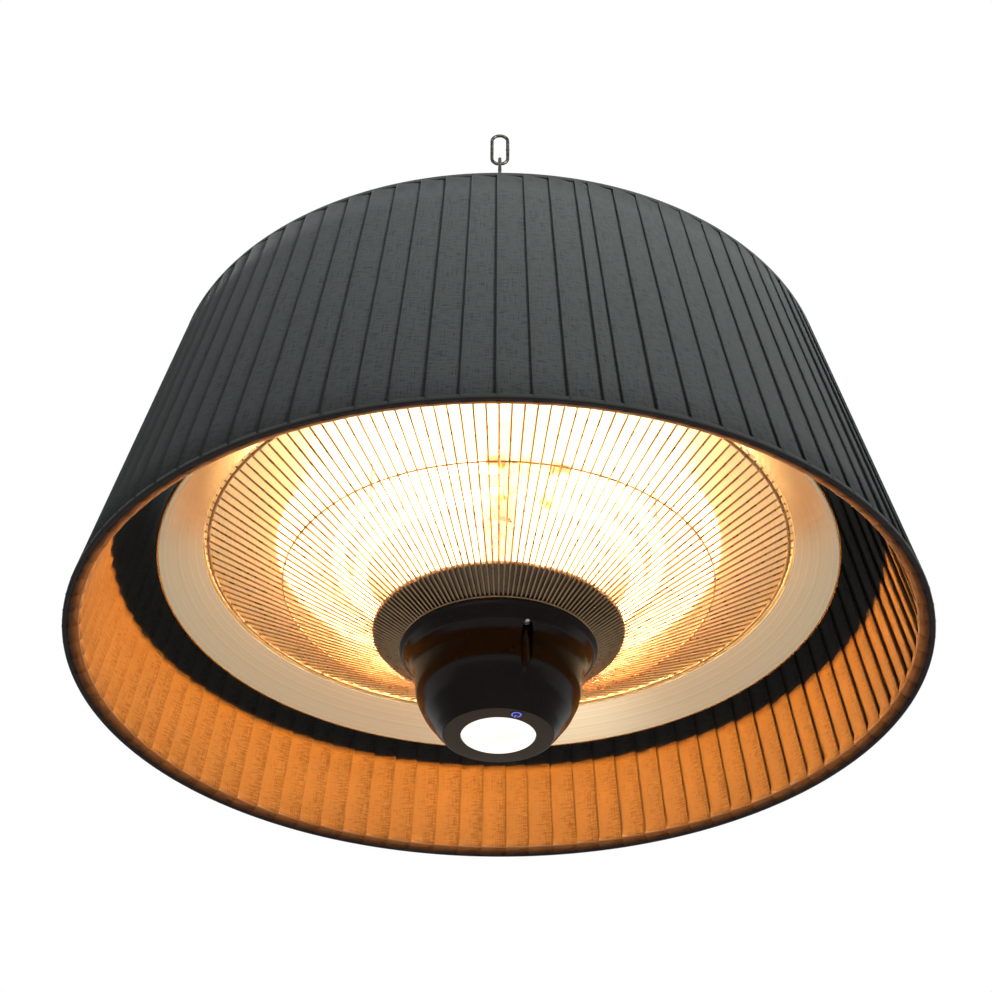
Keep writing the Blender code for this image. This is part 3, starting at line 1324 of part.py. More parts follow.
def main():
    steel = finish("black_steel", BLACK_STEEL, 0.5, 0.6)
    bright = finish("bright_steel", BRIGHT_STEEL, 0.3, 1.0)
    chain_steel = finish("dark_chain_steel", (0.05, 0.045, 0.04), 0.35, 0.9)
    cloth = finish("anthracite_cloth", (0.045, 0.055, 0.055), 0.9)
    binding = finish("black_binding", (0.02, 0.02, 0.02), 0.95)
    aluminium = finish("satin_aluminium", ALUMINIUM, 0.25, 1.0)
    ceramic = finish("white_ceramic", CERAMIC_WHITE, 0.6)
    quartz = finish("quartz_glass", (0.95, 0.75, 0.45), 0.05)
    tungsten = finish("filament_metal", (1.0, 0.6, 0.2), 0.5, 0.5)
    guard_steel = finish("guard_steel", (0.10, 0.06, 0.03), 0.35, 0.9)
    shield_steel = finish("shield_steel", (0.25, 0.20, 0.16), 0.45, 0.9)
    brown_plastic = finish("dark_brown_plastic", (0.022, 0.013, 0.008), 0.2)
    board_green = finish("board_green", (0.03, 0.16, 0.07), 0.5)
    dark_plastic = finish("dark_plastic", (0.03, 0.03, 0.03), 0.5)
    pale_plastic = finish("pale_plastic", (0.7, 0.7, 0.66), 0.5)
    lens_white = finish("lens_white", (0.95, 0.94, 0.88), 0.3)
    symbol_blue = finish("symbol_blue", (0.15, 0.3, 0.9), 0.4)
    sleeve = finish("heat_sleeve", (0.55, 0.5, 0.42), 0.9)

    chain(chain_steel)
    eye_bolt(chain_steel)
    eye_fasteners(bright)
    hanger_stem(steel)
    through = STEM_FOOT_THICKNESS + 2 * REST_GAP + SHEET_THICKNESS + BRACKET_THICKNESS + SCREW_TAIL
    for hand, place in zip(("left", "right"), stem_screw_places()):
        screw(f"stem_screw_{hand}", place, STEM_BOTTOM + STEM_FOOT_THICKNESS, through, bright)

    shade_fabric(cloth)
    bindings(binding)
    shade_frame(steel)

    reflector(aluminium)
    top_cover(steel)
    cross_bracket(bright)
    through = SHEET_THICKNESS + REST_GAP + BRACKET_THICKNESS + SCREW_TAIL
    for hand, place in zip(("left", "right"), bracket_screw_places()):
        screw(f"bracket_screw_{hand}", place, DISH_CEILING_HEIGHT, through, bright, downwards=False)
    ring_lamp("outer_lamp", OUTER_LAMP_DIAMETER, OUTER_LAMP_HEIGHT, quartz, tungsten)
    ring_lamp("inner_lamp", INNER_LAMP_DIAMETER, INNER_LAMP_HEIGHT, quartz, tungsten)
    lamp_clips(bright)
    lead_bushing(ceramic)
    lamp_leads(ceramic)
    guard(guard_steel)
    column(bright, steel)
    heat_shield(shield_steel)

    control_housing(brown_plastic)
    housing_lid(steel)
    roof = HOUSING_RIM_HEIGHT - POCKET_TOP_DROP
    through = LID_TOP - roof + REST_GAP
    for number, place in enumerate(pocket_places(), 1):
        screw(f"housing_screw_{number}", place, roof, through, bright, downwards=False)
    boards(board_green, pale_plastic)
    lamp_lens(lens_white)
    lamp_board(board_green)
    power_button(brown_plastic, symbol_blue, dark_plastic)

    terminal_block(ceramic)
    thermal_cutout(dark_plastic)
    wiring_loom(sleeve)
    cable_gland(dark_plastic)


main()
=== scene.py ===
"""Dresses the hanging patio heater: its chain, pleated shade, reflector, lamps, guard and control housing.

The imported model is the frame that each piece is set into. Heights of the heater's own pieces are counted up
from the lower edge of the shade, and azimuths from the front (-Y) towards +X.
"""

import math
import random

import bmesh
import bpy
from bpy.props import FloatProperty, FloatVectorProperty, IntProperty, PointerProperty
from mathutils import Matrix, Vector


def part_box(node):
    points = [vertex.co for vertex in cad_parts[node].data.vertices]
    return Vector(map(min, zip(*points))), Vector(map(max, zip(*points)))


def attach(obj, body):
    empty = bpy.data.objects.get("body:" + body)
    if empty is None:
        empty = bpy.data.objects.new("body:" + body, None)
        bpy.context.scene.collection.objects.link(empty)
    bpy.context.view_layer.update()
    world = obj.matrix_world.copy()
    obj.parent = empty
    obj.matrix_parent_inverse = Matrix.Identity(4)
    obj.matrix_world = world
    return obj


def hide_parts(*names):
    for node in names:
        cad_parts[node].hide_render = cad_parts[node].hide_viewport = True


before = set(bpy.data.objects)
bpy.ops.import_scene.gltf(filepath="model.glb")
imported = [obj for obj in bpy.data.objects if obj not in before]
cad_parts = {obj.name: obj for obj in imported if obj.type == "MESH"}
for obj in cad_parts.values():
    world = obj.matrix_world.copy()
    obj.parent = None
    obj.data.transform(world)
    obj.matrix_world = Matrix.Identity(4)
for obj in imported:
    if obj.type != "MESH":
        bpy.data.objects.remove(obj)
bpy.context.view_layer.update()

bl_info = {
    "name": "Hanging Patio Heater", "version": (1, 0, 0), "blender": (4, 5, 0),
    "location": "View3D > Sidebar > Patio Heater",
    "description": "Builds the pieces, finishes and stage of a hanging patio heater", "category": "Object",
}

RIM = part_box("shade_bottom_binding")[0][2]
LINKS = 9
TAU = math.tau


# Properties


class HeaterSizes(bpy.types.PropertyGroup):
    """Sizes of the pieces"""

    link_wire: FloatProperty(
        name="Link wire", description="Thickness of the chain's wire", default=0.003, unit="LENGTH"
    )
    link_length: FloatProperty(
        name="Link length", description="Inner length of a link", default=0.034, unit="LENGTH"
    )
    link_width: FloatProperty(
        name="Link width", description="Inner width of a link", default=0.011, unit="LENGTH"
    )
    pleats: IntProperty(name="Pleats", description="Pleats round the shade", default=92)
    pleat_depth: FloatProperty(
        name="Pleat depth", description="How far a pleat slopes inwards", default=0.0029, unit="LENGTH"
    )
    lining_depth: FloatProperty(
        name="Lining depth", description="How far a pleat of the lining slopes outwards", default=0.0042,
        unit="LENGTH"
    )
    cloth_thickness: FloatProperty(
        name="Cloth thickness", description="Thickness of the shade's cloth", default=0.0005, unit="LENGTH"
    )
    guard_wires: IntProperty(name="Guard wires", description="Radial wires of the guard", default=144)
    guard_wire: FloatProperty(
        name="Guard wire", description="Thickness of the guard's radial wires", default=0.0015, unit="LENGTH"
    )
    filament_turns: IntProperty(
        name="Filament turns", description="Turns of a lamp's coiled filament", default=150
    )


class HeaterColours(bpy.types.PropertyGroup):
    """Colours of the finishes"""

    cloth: FloatVectorProperty(
        name="Cloth", description="Anthracite of the pleated cloth", default=(0.043, 0.048, 0.047),
        subtype="COLOR",
    )
    binding: FloatVectorProperty(
        name="Binding", description="Black of the bound edges", default=(0.014, 0.015, 0.015), subtype="COLOR"
    )
    # The gold in the aluminium's colour is partly the metal's own tint and partly painted reflection of the
    # amber lamp light.
    aluminium: FloatVectorProperty(
        name="Aluminium", description="Satin metal of the reflector", default=(0.74, 0.70, 0.48),
        subtype="COLOR",
    )
    housing: FloatVectorProperty(
        name="Housing", description="Brown-black of the control housing", default=(0.007, 0.0045, 0.0025),
        subtype="COLOR",
    )
    face: FloatVectorProperty(
        name="Housing face", description="Lighter brown of the flat face", default=(0.085, 0.053, 0.020),
        subtype="COLOR",
    )
    glow: FloatVectorProperty(
        name="Glow", description="Amber light of the lamps", default=(1.0, 0.24, 0.013), subtype="COLOR"
    )
    tube: FloatVectorProperty(
        name="Tube", description="Light of the lamps' tubes themselves", default=(1.0, 0.78, 0.50),
        subtype="COLOR",
    )
    symbol: FloatVectorProperty(
        name="Symbol", description="Light of the standby symbol", default=(0.13, 0.15, 0.80), subtype="COLOR"
    )
    lens: FloatVectorProperty(
        name="Lens", description="Milky white of the lamp lens", default=(0.90, 0.87, 0.78), subtype="COLOR"
    )


class HeaterStage(bpy.types.PropertyGroup):
    """Camera and light"""

    lens: FloatProperty(name="Lens", description="Focal length in millimetres", default=61.2)
    distance: FloatProperty(
        name="Distance", description="How far in front of the axis the camera stands", default=1.0184,
        unit="LENGTH",
    )
    drop: FloatProperty(
        name="Drop", description="How far below the shade's edge the camera stands", default=0.6074,
        unit="LENGTH",
    )
    pitch: FloatProperty(
        name="Pitch", description="Upward tilt of the camera", default=math.radians(36.835), unit="ROTATION"
    )
    roll: FloatProperty(
        name="Roll", description="Roll of the camera", default=math.radians(0.22), unit="ROTATION",
    )
    yaw: FloatProperty(
        name="Yaw", description="Turn of the camera", default=math.radians(-0.125), unit="ROTATION",
    )
    lamp_power: FloatProperty(
        name="Lamp power", description="Power of each small light on the ring lamps", default=2.7,
        unit="POWER",
    )
    gleam_power: FloatProperty(
        name="Gleam power", description="Power of each small light that only metal shows", default=0.7,
        unit="POWER",
    )
    studio_power: FloatProperty(
        name="Studio power", description="Power of the soft studio light", default=19.0, unit="POWER"
    )


# Shapes


def high(height):
    """Row height of a height above the shade's lower edge."""
    return RIM + height


def heights(node):
    """Lowest and highest height of a CAD node above the shade's lower edge."""
    low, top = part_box(node)
    return low[2] - RIM, top[2] - RIM


def around(radius, azimuth, height=0.0):
    """A point at an azimuth counted from the front towards +X, at a height above the shade's lower edge."""
    return Vector((radius * math.sin(azimuth), -radius * math.cos(azimuth), high(height)))


def piece(name, bm, look, **more):
    return dressed(name, mesh_from(name, bm), look, **more)


def dressed(name, data, look, body="heater", stands_for=(), smooth_angle=35.0):
    """Gives a mesh its finish, and lets it ride on a body and stand for its CAD nodes."""
    data.shade_smooth()
    data.set_sharp_from_angle(angle=math.radians(smooth_angle))
    made = bpy.data.objects.new(name, data)
    data.materials.append(finish(look))
    bpy.context.scene.collection.objects.link(made)
    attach(made, body)
    if stands_for:
        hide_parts(*stands_for)
    return made


def rounded(corners, radius, steps=4):
    """The same outline with its inner corners rounded. A corner with a third value has its own radius."""
    outline = [Vector(corners[0][:2])]
    for before, corner, after in zip(corners, corners[1:], corners[2:]):
        own = corner[2] if len(corner) > 2 else radius
        here = Vector(corner[:2])
        back = Vector(before[:2]) - here
        on = Vector(after[:2]) - here
        bend = math.pi - back.angle(on)
        if own <= 0 or bend < 0.02:
            outline.append(here)
            continue
        reach = min(own * math.tan(bend / 2), back.length * 0.48, on.length * 0.48)
        start = here + back.normalized() * reach
        stop = here + on.normalized() * reach
        for i in range(steps + 1):
            t = i / steps
            outline.append(start.lerp(here, t).lerp(here.lerp(stop, t), t))
    outline.append(Vector(corners[-1][:2]))
    return outline


def walled(outline, thickness):
    """A sheet's outline closed into a wall, which lies to the left of the way the outline runs."""
    far = []
    for i, point in enumerate(outline):
        before = outline[max(i - 1, 0)]
        after = outline[min(i + 1, len(outline) - 1)]
        way = (after - before).normalized()
        far.append(point + Vector((way.y, -way.x)) * thickness)
    return list(outline) + far[::-1]


def spin_into(bm, outline, steps, closed, centre=(0, 0)):
    """Spins an outline of (radius, height above the shade's edge) about an upright axis into a bmesh."""
    verts = [bm.verts.new((centre[0] + point[0], centre[1], high(point[1]))) for point in outline]
    pairs = list(zip(verts, verts[1:]))
    if closed:
        pairs.append((verts[-1], verts[0]))
    made = verts + [bm.edges.new(pair) for pair in pairs]
    bmesh.ops.spin(bm, geom=made, cent=(*centre, 0), axis=(0, 0, 1), angle=TAU, steps=steps, use_merge=True)


def spun(name, node, look, outline, steps, closed=True, centre=(0, 0), **more):
    """A round piece about an upright axis, which stands for one CAD node."""
    bm = bmesh.new()
    spin_into(bm, outline, steps, closed, centre)
    return piece(name, bm, look, stands_for=[node], **more)


def tube_mesh(name, runs, thickness, cyclic=False, resolution=3):
    """Tubes along runs of points, as a mesh."""
    curve = bpy.data.curves.new(name, "CURVE")
    curve.dimensions = "3D"
    curve.bevel_depth = thickness / 2
    curve.bevel_resolution = resolution
    curve.use_fill_caps = True
    for run in runs:
        spline = curve.splines.new("POLY")
        spline.points.add(len(run) - 1)
        for point, place in zip(spline.points, run):
            point.co = (*place, 1)
        spline.use_cyclic_u = cyclic
    holder = bpy.data.objects.new(name, curve)
    bpy.context.scene.collection.objects.link(holder)
    graph = bpy.context.evaluated_depsgraph_get()
    data = bpy.data.meshes.new_from_object(holder.evaluated_get(graph))
    bpy.data.objects.remove(holder, do_unlink=True)
    data.name = name
    return data


def tube(name, runs, thickness, look, cyclic=False, resolution=3, **more):
    bm = bmesh.new()
    bm.from_mesh(tube_mesh(name, runs, thickness, cyclic, resolution))
    return piece(name, bm, look, **more)


def bent(points, reach, steps=6):
    """A run of points in space with its inner corners rounded."""
    run = [Vector(points[0])]
    for before, corner, after in zip(points, points[1:], points[2:]):
        here = Vector(corner)
        start = here + (Vector(before) - here).normalized() * reach
        stop = here + (Vector(after) - here).normalized() * reach
        for i in range(steps + 1):
            t = i / steps
            run.append(start.lerp(here, t).lerp(here.lerp(stop, t), t))
    run.append(Vector(points[-1]))
    return run


def rod(bm, start, end, thickness, sides=16, rim=0.0):
    """A cylinder between two points, with its end edges bevelled by the rim."""
    start, end = Vector(start), Vector(end)
    turn = (end - start).to_track_quat("Z", "Y").to_matrix().to_4x4()
    made = bmesh.ops.create_cone(
        bm, cap_ends=True, segments=sides, radius1=thickness / 2, radius2=thickness / 2,
        depth=(end - start).length, matrix=Matrix.Translation((start + end) / 2) @ turn,
    )
    if rim:
        caps = {face for vert in made["verts"] for face in vert.link_faces if len(face.verts) == sides}
        edges = list({edge for face in caps for edge in face.edges})
        bmesh.ops.bevel(
            bm, geom=edges, offset=rim, segments=2, profile=0.5, affect="EDGES", material=-1,
            clamp_overlap=True,
        )


def ring_outline(radius, height, thickness, sides=12):
    outline = []
    for i in range(sides):
        angle = TAU * i / sides
        outline.append((radius + thickness / 2 * math.sin(angle), height + thickness / 2 * math.cos(angle)))
    return outline


def cut(target, tool):
    """Cuts one mesh datablock out of another and gives the new one."""
    a = bpy.data.objects.new("target", target)
    b = bpy.data.objects.new("tool", tool)
    for holder in (a, b):
        bpy.context.scene.collection.objects.link(holder)
    made = a.modifiers.new("cut", "BOOLEAN")
    made.solver = "EXACT"
    made.object = b
    graph = bpy.context.evaluated_depsgraph_get()
    data = bpy.data.meshes.new_from_object(a.evaluated_get(graph))
    for holder in (a, b):
        bpy.data.objects.remove(holder, do_unlink=True)
    return data


def mesh_from(name, bm):
    bmesh.ops.remove_doubles(bm, verts=bm.verts, dist=1e-6)
    bmesh.ops.recalc_face_normals(bm, faces=bm.faces)
    data = bpy.data.meshes.new(name)
    bm.to_mesh(data)
    bm.free()
    return data


# Finishes


class Nodes:
    """Adds nodes to a tree and links them."""

    def __init__(self, tree):
        self.tree = tree

    def node(self, kind, **settings):
        """A node with its settings, and with the values of its sockets."""
        made = self.tree.nodes.new(kind)
        for name, value in settings.items():
            if hasattr(made, name):
                setattr(made, name, value)
            else:
                made.inputs[name.replace("_", " ").title()].default_value = value
        return made

    def link(self, out, into):
        self.tree.links.new(out, into)

    def math(self, operation, *terms):
        """The result of a Math node, whose terms are numbers and sockets."""
        made = self.node("ShaderNodeMath", operation=operation)
        for term, socket in zip(terms, made.inputs):
            if isinstance(term, float):
                socket.default_value = term
            else:
                self.link(term, socket)
        return made.outputs["Value"]

    def ranged(self, factor, spread, low, top):
        """A factor, set between two values."""
        made = self.node("ShaderNodeMapRange", from_min=spread[0], from_max=spread[1], to_min=low, to_max=top)
        self.link(factor, made.inputs["Value"])
        return made.outputs["Result"]


class Finish(Nodes):
    """A material whose nodes are added one by one."""

    def __init__(self, name, colour, roughness, metallic=0.0):
        self.material = bpy.data.materials.new(name)
        self.material.use_nodes = True
        super().__init__(self.material.node_tree)
        self.shader = self.tree.nodes["Principled BSDF"]
        self.set("Base Color", (*colour, 1.0))
        self.set("Roughness", roughness)
        self.set("Metallic", metallic)
        self.bump = None
        self.material.diffuse_color = (*colour, 1.0)

    def set(self, socket, value):
        self.shader.inputs[socket].default_value = value

    def coordinates(self, scale=(1, 1, 1), source="Object", place=(0, 0, 0)):
        """Object coordinates, or the piece's own UV map, stretched by a scale."""
        where = self.node("ShaderNodeTexCoord")
        mapping = self.node("ShaderNodeMapping", scale=scale)
        mapping.inputs["Location"].default_value = place
        self.link(where.outputs[source], mapping.inputs["Vector"])
        return mapping.outputs["Vector"]

    def noise(self, scale, detail=4.0, vector=None):
        made = self.node("ShaderNodeTexNoise", scale=scale, detail=detail, roughness=0.55)
        self.link(vector or self.coordinates(), made.inputs["Vector"])
        return made.outputs["Fac"]

    def far(self, vector):
        """Length of a vector."""
        made = self.node("ShaderNodeVectorMath", operation="LENGTH")
        self.link(vector, made.inputs[0])
        return made.outputs["Value"]

    def distance(self):
        """Distance from the upright axis."""
        where = self.node("ShaderNodeTexCoord")
        flat = self.node("ShaderNodeVectorMath", operation="MULTIPLY")
        flat.inputs[1].default_value = (1, 1, 0)
        self.link(where.outputs["Object"], flat.inputs[0])
        return self.far(flat.outputs["Vector"])

    def radial(self, scale):
        """Rings about the upright axis: noise along the distance from it."""
        made = self.node("ShaderNodeTexNoise", noise_dimensions="1D", scale=scale, detail=3.0)
        self.link(self.distance(), made.inputs["W"])
        return made.outputs["Fac"]

    def vary(self, factor, low, top, socket="Roughness", spread=(0.3, 0.7)):
        """Sends a factor, set between two values, to a socket of the shader."""
        self.link(self.ranged(factor, spread, low, top), self.shader.inputs[socket])

    def tint(self, factor, dark, light, spread=(0.35, 0.65)):
        """Colours the surface from dark to light along a factor."""
        made = self.node("ShaderNodeValToRGB")
        for element, place, colour in zip(made.color_ramp.elements, spread, (dark, light)):
            element.position = place
            element.color = (*colour, 1.0)
        self.link(factor, made.inputs["Fac"])
        self.link(made.outputs["Color"], self.shader.inputs["Base Color"])

    def relief(self, factor, distance, strength=1.0):
        made = self.node("ShaderNodeBump", distance=distance, strength=strength)
        self.link(factor, made.inputs["Height"])
        if self.bump:
            self.link(self.bump.outputs["Normal"], made.inputs["Normal"])
        self.link(made.outputs["Normal"], self.shader.inputs["Normal"])
        self.bump = made


def shades(colour, *shares):
    """Darker and lighter shades of a colour."""
    return [tuple(min(1.0, channel * share) for channel in colour) for share in shares]


def marked_finish(name, colour, roughness, metallic, marks, tints, rough=None, spread=(0.35, 0.65)):
    """A surface with clouds or marks, which change its colour and its roughness."""
    made = Finish(name, colour, roughness, metallic)
    spots = made.noise(*marks)
    made.tint(spots, *tints, spread)
    if rough:
        made.vary(spots, *rough)
    return made


def cloth_finish(name, colour):
    """Stiffened woven cloth: slubs along the threads, a fine weave, a soft sheen and painted shade across the
    lining's pleats.
    """
    made = Finish(name, colour, 0.92)
    threads = made.noise(1.0, 6.0, made.coordinates((2600, 60, 1), "UV"))
    slubs = made.noise(1.0, 5.0, made.coordinates((140, 900, 1), "UV"))
    weave = made.math("ADD", threads, slubs)
    # Painted light and shade: each pleat of the lining is paler towards the end that lies under the next one.
    fold = made.node("ShaderNodeAttribute", attribute_name="fold")
    weave_and_painted_shade = made.math("MULTIPLY_ADD", fold.outputs["Fac"], 0.30, weave)
    made.tint(weave_and_painted_shade, *shades(colour, 0.72, 1.32), (0.80, 1.0))
    made.relief(weave, 0.00012, 0.7)
    made.vary(slubs, 0.85, 0.98)
    made.set("Sheen Weight", 0.06)
    made.set("Sheen Roughness", 0.4)
    made.set("Specular IOR Level", 0.05)
    return made.material


def binding_finish(colour):
    made = Finish("bound_edge", colour, 0.9)
    ribs = made.noise(4200, 3.0)
    made.tint(ribs, *shades(colour, 0.7, 1.5))
    made.relief(ribs, 0.0001, 0.8)
    made.set("Sheen Weight", 0.15)
    return made.material


def aluminium_finish(colour):
    """Spun aluminium: fine turning lines, a slight waviness and a duller middle."""
    made = Finish("spun_aluminium", colour, 0.27, 1.0)
    # Inside the guard's outer ring the sheet is etched duller than on the polished brim.
    far = made.distance()
    etched = (0.2125, 0.2150)
    made.vary(far, 0.975, 0.985, "Metallic", etched)
    made.vary(far, 0.42, 0.25, "Roughness", etched)
    rings = made.radial(900)
    made.tint(rings, *shades(colour, 0.93, 1.05))
    made.relief(rings, 0.00003, 0.35)
    made.relief(made.noise(9, 1.0), 0.0015, 0.2)
    return made.material


def plated_finish(name, colour, low=0.22, top=0.38, metallic=1.0):
    made = marked_finish(name, colour, low, metallic, (160, 5.0), shades(colour, 0.85, 1.08), (low, top))
    made.relief(made.noise(1500, 2.0), 0.00002, 0.5)
    return made.material


def shield_finish(colour):
    """Heat-stained steel with pressing rings."""
    tints = shades(colour, 0.7, 1.3)
    made = marked_finish("heat_stained_steel", colour, 0.4, 0.9, (45, 6.0), tints, (0.32, 0.5))
    made.relief(made.radial(700), 0.00003, 0.4)
    return made.material


def paint_finish(name, colour, roughness=0.42):
    """Sprayed paint with a fine orange peel and a little dust."""
    rough = (roughness - 0.06, roughness + 0.1)
    made = marked_finish(name, colour, roughness, 0.0, (30, 6.0), shades(colour, 0.85, 1.25), rough)
    made.relief(made.noise(900, 2.0), 0.00006, 0.4)
    return made.material


def plastic_finish(name, colour, roughness, grain=0.00002):
    """Moulded plastic with a faint grain and slight sink marks."""
    rough = (roughness - 0.03, roughness + 0.05)
    made = marked_finish(name, colour, roughness, 0.0, (24, 3.0), shades(colour, 0.9, 1.12), rough)
    made.relief(made.noise(2400, 2.0), grain, 0.5)
    made.set("Specular IOR Level", 0.15)
    return made.material


def chain_finish():
    """Dark oiled steel with worn, brighter spots."""
    tints = ((0.018, 0.016, 0.014), (0.09, 0.08, 0.066))
    colour = (0.03, 0.026, 0.022)
    made = marked_finish("oiled_steel", colour, 0.36, 0.8, (260, 6.0), tints, (0.28, 0.5), (0.42, 0.75))
    made.relief(made.noise(1600, 3.0), 0.00004, 0.6)
    return made.material


def glowing_finish(name, colour, strength, base=None, roughness=0.4):
    """A lit piece, a little uneven in its brightness."""
    made = Finish(name, base or colour, roughness)
    made.set("Emission Color", (*colour, 1.0))
    made.vary(made.noise(60, 2.0), strength * 0.9, strength * 1.1, "Emission Strength")
    return made.material


def quartz_finish(colour):
    """A clear lamp tube that is full of amber light."""
    made = Finish("lit_quartz", (1.0, 0.62, 0.25), 0.05)
    made.set("Emission Color", (*colour, 1.0))
    made.set("Alpha", 0.45)
    made.set("IOR", 1.45)
    made.vary(made.noise(80, 2.0), 10.0, 14.0, "Emission Strength")
    return made.material


def ceramic_finish():
    made = Finish("white_ceramic", (0.80, 0.76, 0.68), 0.55)
    specks = made.noise(700, 4.0)
    made.tint(specks, (0.70, 0.65, 0.56), (0.84, 0.80, 0.73))
    made.relief(specks, 0.00005, 0.6)
    return made.material


def board_finish():
    """Green circuit board with lighter tracks."""
    made = Finish("green_board", (0.02, 0.12, 0.05), 0.4)
    cells = made.node("ShaderNodeTexVoronoi", feature="DISTANCE_TO_EDGE", scale=420.0)
    made.link(made.coordinates(), cells.inputs["Vector"])
    made.tint(cells.outputs["Distance"], (0.05, 0.24, 0.10), (0.015, 0.10, 0.04), (0.04, 0.08))
    made.set("Coat Weight", 0.5)
    return made.material


def sleeve_finish():
    """Woven glass sleeve with slanted threads."""
    made = Finish("woven_sleeve", (0.52, 0.47, 0.38), 0.9)
    threads = made.node("ShaderNodeTexWave", bands_direction="DIAGONAL", scale=380, distortion=2.0)
    made.link(made.coordinates(), threads.inputs["Vector"])
    made.tint(threads.outputs["Fac"], (0.36, 0.32, 0.25), (0.60, 0.55, 0.46), (0.2, 0.8))
    made.relief(threads.outputs["Fac"], 0.0002, 0.8)
    return made.material


FINISHES = {}


def finish(name):
    """One of the finishes, made the first time that it is asked for."""
    if name not in FINISHES:
        colours = bpy.context.scene.heater_colours
        makers = {
            "cloth": lambda: cloth_finish("pleated_cloth", tuple(colours.cloth)),
            "binding": lambda: binding_finish(tuple(colours.binding)),
            "aluminium": lambda: aluminium_finish(tuple(colours.aluminium)),
            "guard": lambda: plated_finish("guard_wire_finish", (0.34, 0.25, 0.15), 0.24, 0.36, 0.97),
            "zinc": lambda: plated_finish("zinc_plate", (0.60, 0.59, 0.58)),
            "shield": lambda: shield_finish((0.11, 0.085, 0.06)),
            "black": lambda: paint_finish("black_paint", (0.022, 0.022, 0.024)),
            "grey": lambda: paint_finish("grey_paint", tuple(colours.cloth), 0.6), "chain": chain_finish,
            "housing": lambda: plastic_finish("housing_brown", tuple(colours.housing), 0.2),
            "face": lambda: plastic_finish("housing_face_brown", tuple(colours.face), 0.34),
            "dark": lambda: plastic_finish("black_moulding", (0.022, 0.022, 0.022), 0.5, 0.00006),
            "pale": lambda: plastic_finish("pale_moulding", (0.62, 0.62, 0.58), 0.5, 0.00006),
            "ceramic": ceramic_finish, "quartz": lambda: quartz_finish(tuple(colours.tube)),
            "filament": lambda: glowing_finish("hot_filament", (1.0, 0.50, 0.13), 9.0),
            "lens": lambda: glowing_finish("milky_lens", (1.0, 0.97, 0.90), 0.95, tuple(colours.lens)),
            "symbol": lambda: glowing_finish("lit_symbol", tuple(colours.symbol), 1.0),
            "lead": lambda: plastic_finish("lead_sleeve", (0.68, 0.62, 0.52), 0.6, 0.00008),
            "board": board_finish, "sleeve": sleeve_finish,
        }
        FINISHES[name] = makers[name]()
    return FINISHES[name]


# Pieces


class HEATER_OT_chain(bpy.types.Operator):
    """Rounds the links of the chain"""

    bl_idname = "heater.chain"
    bl_label = "Chain"

    def execute(self, context):
        sizes = context.scene.heater_sizes
        bend = (sizes.link_width + sizes.link_wire) / 2
        arch = sizes.link_width / 2
        for number in range(1, LINKS + 1):
            low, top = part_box(f"chain_link_{number}")
            crown = top[2] - sizes.link_wire
            run = []
            for centre, start in ((crown - arch, 0.0), (crown + arch - sizes.link_length, math.pi)):
                for i in range(17):
                    angle = start + math.pi * i / 16
                    across, height = bend * math.cos(angle), centre + bend * math.sin(angle)
                    run.append((across, 0, height) if number % 2 else (0, across, height))
            body = "root" if number == 1 else f"link_{number}"
            name = f"rounded_link_{number}"
            bm = bmesh.new()
            bm.from_mesh(tube_mesh(name, [run], sizes.link_wire, cyclic=True, resolution=4))
            self.weld(bm, bend, (low[2] + top[2]) / 2, number, sizes.link_wire)
            piece(name, bm, "chain", body=body, stands_for=[f"chain_link_{number}"])
        return {"FINISHED"}

    @staticmethod
    def weld(bm, bend, middle, number, wire):
        """The slightly thicker butt weld in the middle of a link's straight side."""
        side = bend if number % 4 < 2 else -bend
        centre = Vector((side, 0, middle)) if number % 2 else Vector((0, side, middle))
        half = Vector((0, 0, 0.0011))
        rod(bm, centre - half, centre + half, wire * 1.12, 18, 0.0005)


class HEATER_OT_eye_bolt(bpy.types.Operator):
    """Makes the eye bolt with its ring, collar and thread"""

    bl_idname = "heater.eye_bolt"
    bl_label = "Eye bolt"

    def execute(self, context):
        low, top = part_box("eye_bolt")
        radius, wire = 0.009, 0.005
        middle = top[2] - radius - wire / 2 - 0.0004
        turns = [TAU * i / 48 for i in range(48)]
        run = [(0, radius * math.cos(angle), middle + radius * math.sin(angle)) for angle in turns]
        bm = bmesh.new()
        bm.from_mesh(tube_mesh("eye_ring", [run], wire, cyclic=True, resolution=5))
        collar, end = 0.2328, low[2] - RIM
        corners = [
            (0, collar + 0.0052), (0.0068, collar + 0.0052), (0.0089, collar + 0.003), (0.009, collar),
            (0.004, collar), (0.004, end), (0, end),
        ]
        spin_into(bm, rounded(corners, 0.0006, 3), 48, False)
        for thread in range(14):
            spin_into(bm, ring_outline(0.00375, end + 0.001 + thread * 0.00125, 0.0009, 6), 32, True)
        piece("forged_eye_bolt", bm, "chain", stands_for=["eye_bolt"])
        return {"FINISHED"}


